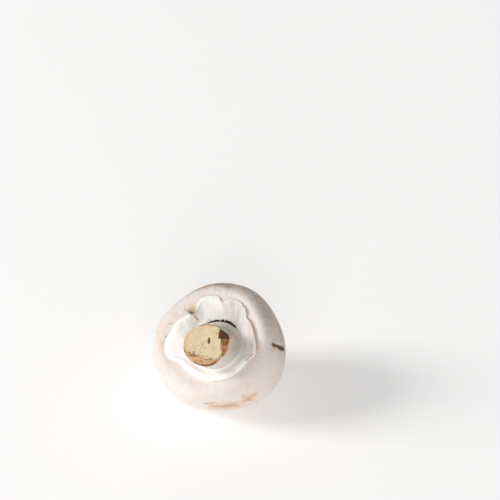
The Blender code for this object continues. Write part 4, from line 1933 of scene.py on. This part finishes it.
        # Painted shade: grey along the crown and the upper flank.
        masks["grey"] = np.maximum(masks["grey"], 0.36 * crown + 0.15 * upper)
        broad = 0.25 * ease(rough(points, 7.0, 112, 2), 0.1, 0.9)
        masks["blush"] = np.maximum(masks["blush"], broad)
        return masks

    def build_grid(self) -> RingGrid:
        """Builds the cap's rings with its relief and masks.

        Returns:
            The grid, whose rings run from the veil to the dome's top.
        """
        phi = angles(self.columns)
        smooth = self.rings(phi)
        grain = grain_of(smooth, phi, 34.0, 0.12)
        points = smooth + normals(smooth) * self.relief(phi, smooth, grain)[..., None]
        tip = np.array([0.0, 0.0, points[-1, :, 2].mean() - 0.004])
        return RingGrid(points, self.colours(phi, points, smooth), grain, tip)


@dataclass
class Gills:
    """The gill blades that stand behind the open slot."""

    veil: Veil
    spacing: float = 4.0
    thick: float = 0.16

    def build(self, pose: Pose, material: bpy.types.Material) -> bpy.types.Object:
        """Makes all blades as one piece.

        Args:
            pose: How they are laid down.
            material: Their finish.

        Returns:
            The object.
        """
        draw = np.random.default_rng(5)
        verts: list[np.ndarray] = []
        faces: list[tuple[int, ...]] = []
        turn = self.veil.slot_from + 2.0
        while turn < self.veil.slot_to - 2.0:
            self.add_blade(turn + draw.uniform(-0.6, 0.6), draw, verts, faces)
            turn += self.spacing
        points = np.array(verts)
        mesh = bpy.data.meshes.new("gills")
        mesh.from_pydata(pose.to_world(points).tolist(), [], faces)
        set_grain(mesh, points)
        return place_mesh("gills", mesh, material)

    def add_blade(
        self,
        turn: float,
        draw: np.random.Generator,
        verts: list[np.ndarray],
        faces: list[tuple[int, ...]],
    ) -> None:
        """Adds one thin blade with a wavy free edge.

        Args:
            turn: Its angle round the stalk's foot, in degrees.
            draw: Where its unevenness comes from.
            verts: The mesh's points so far.
            faces: Its faces so far.
        """
        foot_x, foot_y, foot_z = self.veil.stalk.foot
        base = self.veil.stalk.foot_r
        steps = 8
        start = len(verts)
        for step in range(steps + 1):
            part = step / steps
            z = foot_z - 3.9 + 3.0 * part
            inner = base + 0.42 + 0.1 * math.sin(9.0 * part + turn) + draw.uniform(-0.03, 0.03)
            outer = base + 2.0 - 1.0 * part
            for radius in (inner, outer):
                for side in (-0.5, 0.5):
                    angle = math.radians(turn) + side * self.thick / radius
                    x = foot_x + radius * math.cos(angle)
                    verts.append(np.array([x, foot_y + radius * math.sin(angle), z]))
        for step in range(steps):
            a = start + 4 * step
            b = a + 4
            faces += [(a, a + 1, b + 1, b), (a + 1, a + 3, b + 3, b + 1)]
            faces += [(a + 3, a + 2, b + 2, b + 3), (a + 2, a, b, b + 2)]
        last = start + 4 * steps
        faces += [(start, start + 2, start + 3, start + 1), (last, last + 1, last + 3, last + 2)]


@dataclass
class Crumbs:
    """Crumbs of growing soil that stick to the stalk's worn end."""

    stalk: Stalk
    count: int = 26

    def build(self, pose: Pose, material: bpy.types.Material) -> bpy.types.Object:
        """Makes all crumbs as one piece.

        Args:
            pose: How they are laid down.
            material: Their finish.

        Returns:
            The object.
        """
        draw = np.random.default_rng(11)
        shape = bmesh.new()
        axes = self.stalk.end_axes()
        for _ in range(self.count):
            turn = math.radians(draw.choice([draw.uniform(225.0, 315.0), draw.uniform(10.0, 70.0)]))
            reach = draw.uniform(4.9, 6.5)
            across, up = reach * math.cos(turn), reach * math.sin(turn)
            height, _ = self.stalk.depth_masks(np.array([across]), np.array([up]))
            place = self.stalk.end_centre() + np.array([across, up, height[0]]) @ axes
            size = draw.uniform(0.08, 0.22)
            spot = pose.to_world(place[None])[0]
            made = bmesh.ops.create_icosphere(shape, subdivisions=2, radius=1.0)["verts"]
            stretch = Matrix.Diagonal((*(size * MM * draw.uniform(0.6, 1.3, 3)), 1.0))
            spin = Matrix.Rotation(draw.uniform(0.0, 6.28), 4, "X")
            for vert in made:
                bump = 1.0 + 0.35 * float(rough(np.array(vert.co[:]) + 9.0 * place, 0.9, 3, 2))
                vert.co = Matrix.Translation(spot) @ spin @ stretch @ (vert.co * bump)
        mesh = bpy.data.meshes.new("soil_crumbs")
        shape.to_mesh(mesh)
        shape.free()
        return place_mesh("soil_crumbs", mesh, material)


# The studio


@dataclass(frozen=True)
class Lamp:
    """One soft square light: where it stands round the mushroom, its width and its watts."""

    name: str
    azimuth: float
    elevation: float
    size: float
    power: float


@dataclass(frozen=True)
class Studio:
    """The pale floor, the soft lights and the camera at the photo's place.

    Lengths are in metres; sight is the camera's azimuth and elevation, and axis where it looks.
    """

    centre: tuple[float, float, float] = (-0.0004077, 0.0004562, 0.01778)
    distance: float = 0.55
    sight: tuple[float, float] = (23.4, 36.6)
    axis: tuple[float, float] = (22.154, 33.337)
    lens: float = 123.5184
    floor_half: float = 3.0
    lamp_distance: float = 3.0
    lamp_tint: tuple[float, float, float] = (1.0, 0.99, 0.98)
    lamps: tuple[Lamp, ...] = (
        Lamp("key", -64.0, 29.0, 1.1, 57.0),
        Lamp("front", 18.0, 17.0, 1.6, 38.0),
        Lamp("back", 205.0, 16.0, 1.5, 7.0),
    )

    def toward(self, azimuth: float, elevation: float) -> Vector:
        """Direction from the object.

        Args:
            azimuth: Degrees round it.
            elevation: Degrees over the floor.

        Returns:
            A unit vector.
        """
        turn, rise = math.radians(azimuth), math.radians(elevation)
        level = math.cos(rise)
        return Vector((math.sin(turn) * level, -math.cos(turn) * level, math.sin(rise)))

    def camera(self) -> bpy.types.Object:
        """Places the camera so that the mushroom lands where the photo has it.

        Returns:
            The camera.
        """
        data = bpy.data.cameras.new("camera")
        data.lens = self.lens
        data.sensor_width = 36.0
        data.clip_start = 0.01
        camera = bpy.data.objects.new("camera", data)
        camera.location = Vector(self.centre) + self.toward(*self.sight) * self.distance
        camera.rotation_euler = (math.radians(90.0 - self.axis[1]), 0.0, math.radians(self.axis[0]))
        bpy.context.scene.collection.objects.link(camera)
        bpy.context.scene.camera = camera
        return camera

    def light(self, lamp: Lamp) -> bpy.types.Object:
        """Adds one light that faces the mushroom.

        Args:
            lamp: What it is.

        Returns:
            The light.
        """
        data = bpy.data.lights.new(lamp.name, "AREA")
        data.shape = "SQUARE"
        data.size = lamp.size
        data.energy = lamp.power
        data.color = self.lamp_tint
        light = bpy.data.objects.new(lamp.name, data)
        away = self.toward(lamp.azimuth, lamp.elevation)
        light.location = Vector(self.centre) + away * self.lamp_distance
        light.rotation_euler = away.to_track_quat("Z", "Y").to_euler()
        bpy.context.scene.collection.objects.link(light)
        return light

    def floor(self) -> bpy.types.Object:
        """Lays the plain pale floor.

        Returns:
            The floor.
        """
        mesh = bpy.data.meshes.new("floor")
        half = self.floor_half
        corners = [(-half, -half, 0.0), (half, -half, 0.0), (half, half, 0.0), (-half, half, 0.0)]
        mesh.from_pydata(corners, [], [(0, 1, 2, 3)])
        material = bpy.data.materials.new("floor paper")
        material.use_nodes = True
        tree = material.node_tree
        shader = tree.nodes["Principled BSDF"]
        shader.inputs["Roughness"].default_value = 0.9
        shader.inputs["Specular IOR Level"].default_value = 0.1
        shader.inputs["Emission Color"].default_value = (1.0, 1.0, 1.0, 1.0)
        shader.inputs["Emission Strength"].default_value = 0.24
        noise = add_node(tree, "ShaderNodeTexNoise", scale=40.0, detail=2.0)
        tone = mix_colour(tree, noise.outputs["Fac"], (0.9, 0.9, 0.9, 1.0), (0.93, 0.93, 0.93, 1.0))
        tree.links.new(tone, shader.inputs["Base Color"])
        floor = place_mesh("floor", mesh, material)
        return floor

    def air(self) -> None:
        """Sets the soft light from all sides and the plain colour transform."""
        world = bpy.data.worlds.new("studio air")
        world.use_nodes = True
        tree = world.node_tree
        ground = tree.nodes["Background"]
        ground.inputs["Color"].default_value = (1.0, 0.99, 0.98, 1.0)
        seen = add_node(tree, "ShaderNodeLightPath").outputs["Is Camera Ray"]
        strength = calc(tree, Step.ADD, calc(tree, Step.MULTIPLY, seen, 0.6), 0.33)
        tree.links.new(strength, ground.inputs["Strength"])
        bpy.context.scene.world = world
        bpy.context.scene.view_settings.view_transform = "Standard"
        bpy.context.scene.view_settings.look = "None"

    def build(self) -> None:
        """Sets the whole studio."""
        self.floor()
        self.air()
        self.camera()
        for lamp in self.lamps:
            self.light(lamp)


def dress(piece: bpy.types.Object, stands: bool = True) -> None:
    """Makes a piece ride on the mushroom's body.

    Args:
        piece: The piece.
        stands: Whether it stands for the solid itself, and not for something on it.
    """
    if stands:
        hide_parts("mushroom")
    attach(piece, "root")
    LOG.info("%s: %d faces", piece.name, len(piece.data.polygons))


def main() -> None:
    """Builds the mushroom's pieces and the studio in order."""
    logging.basicConfig(level=logging.INFO, format="%(message)s")
    shared = SharedEffects()
    pose = Pose()
    stalk = Stalk()
    veil = Veil(stalk)
    cap = Cap(veil)

    dress(cap.build_grid().build("cap", pose, CAP_SKIN.build(shared)))
    dress(veil.build_grid().build("veil", pose, VEIL_FLESH.build(shared)))
    side, rim = stalk.flank()
    dress(side.build("stalk", pose, STALK_SKIN.build(shared)))
    dress(stalk.cut_end(rim).build("stalk_end", pose, CUT_FLESH.build(shared)))
    dress(Gills(veil).build(pose, GILL_FLESH.build(shared)), stands=False)
    dress(Crumbs(stalk).build(pose, CRUMB_SOIL.build(shared)), stands=False)
    Studio().build()


if __name__ == "__main__":
    main()
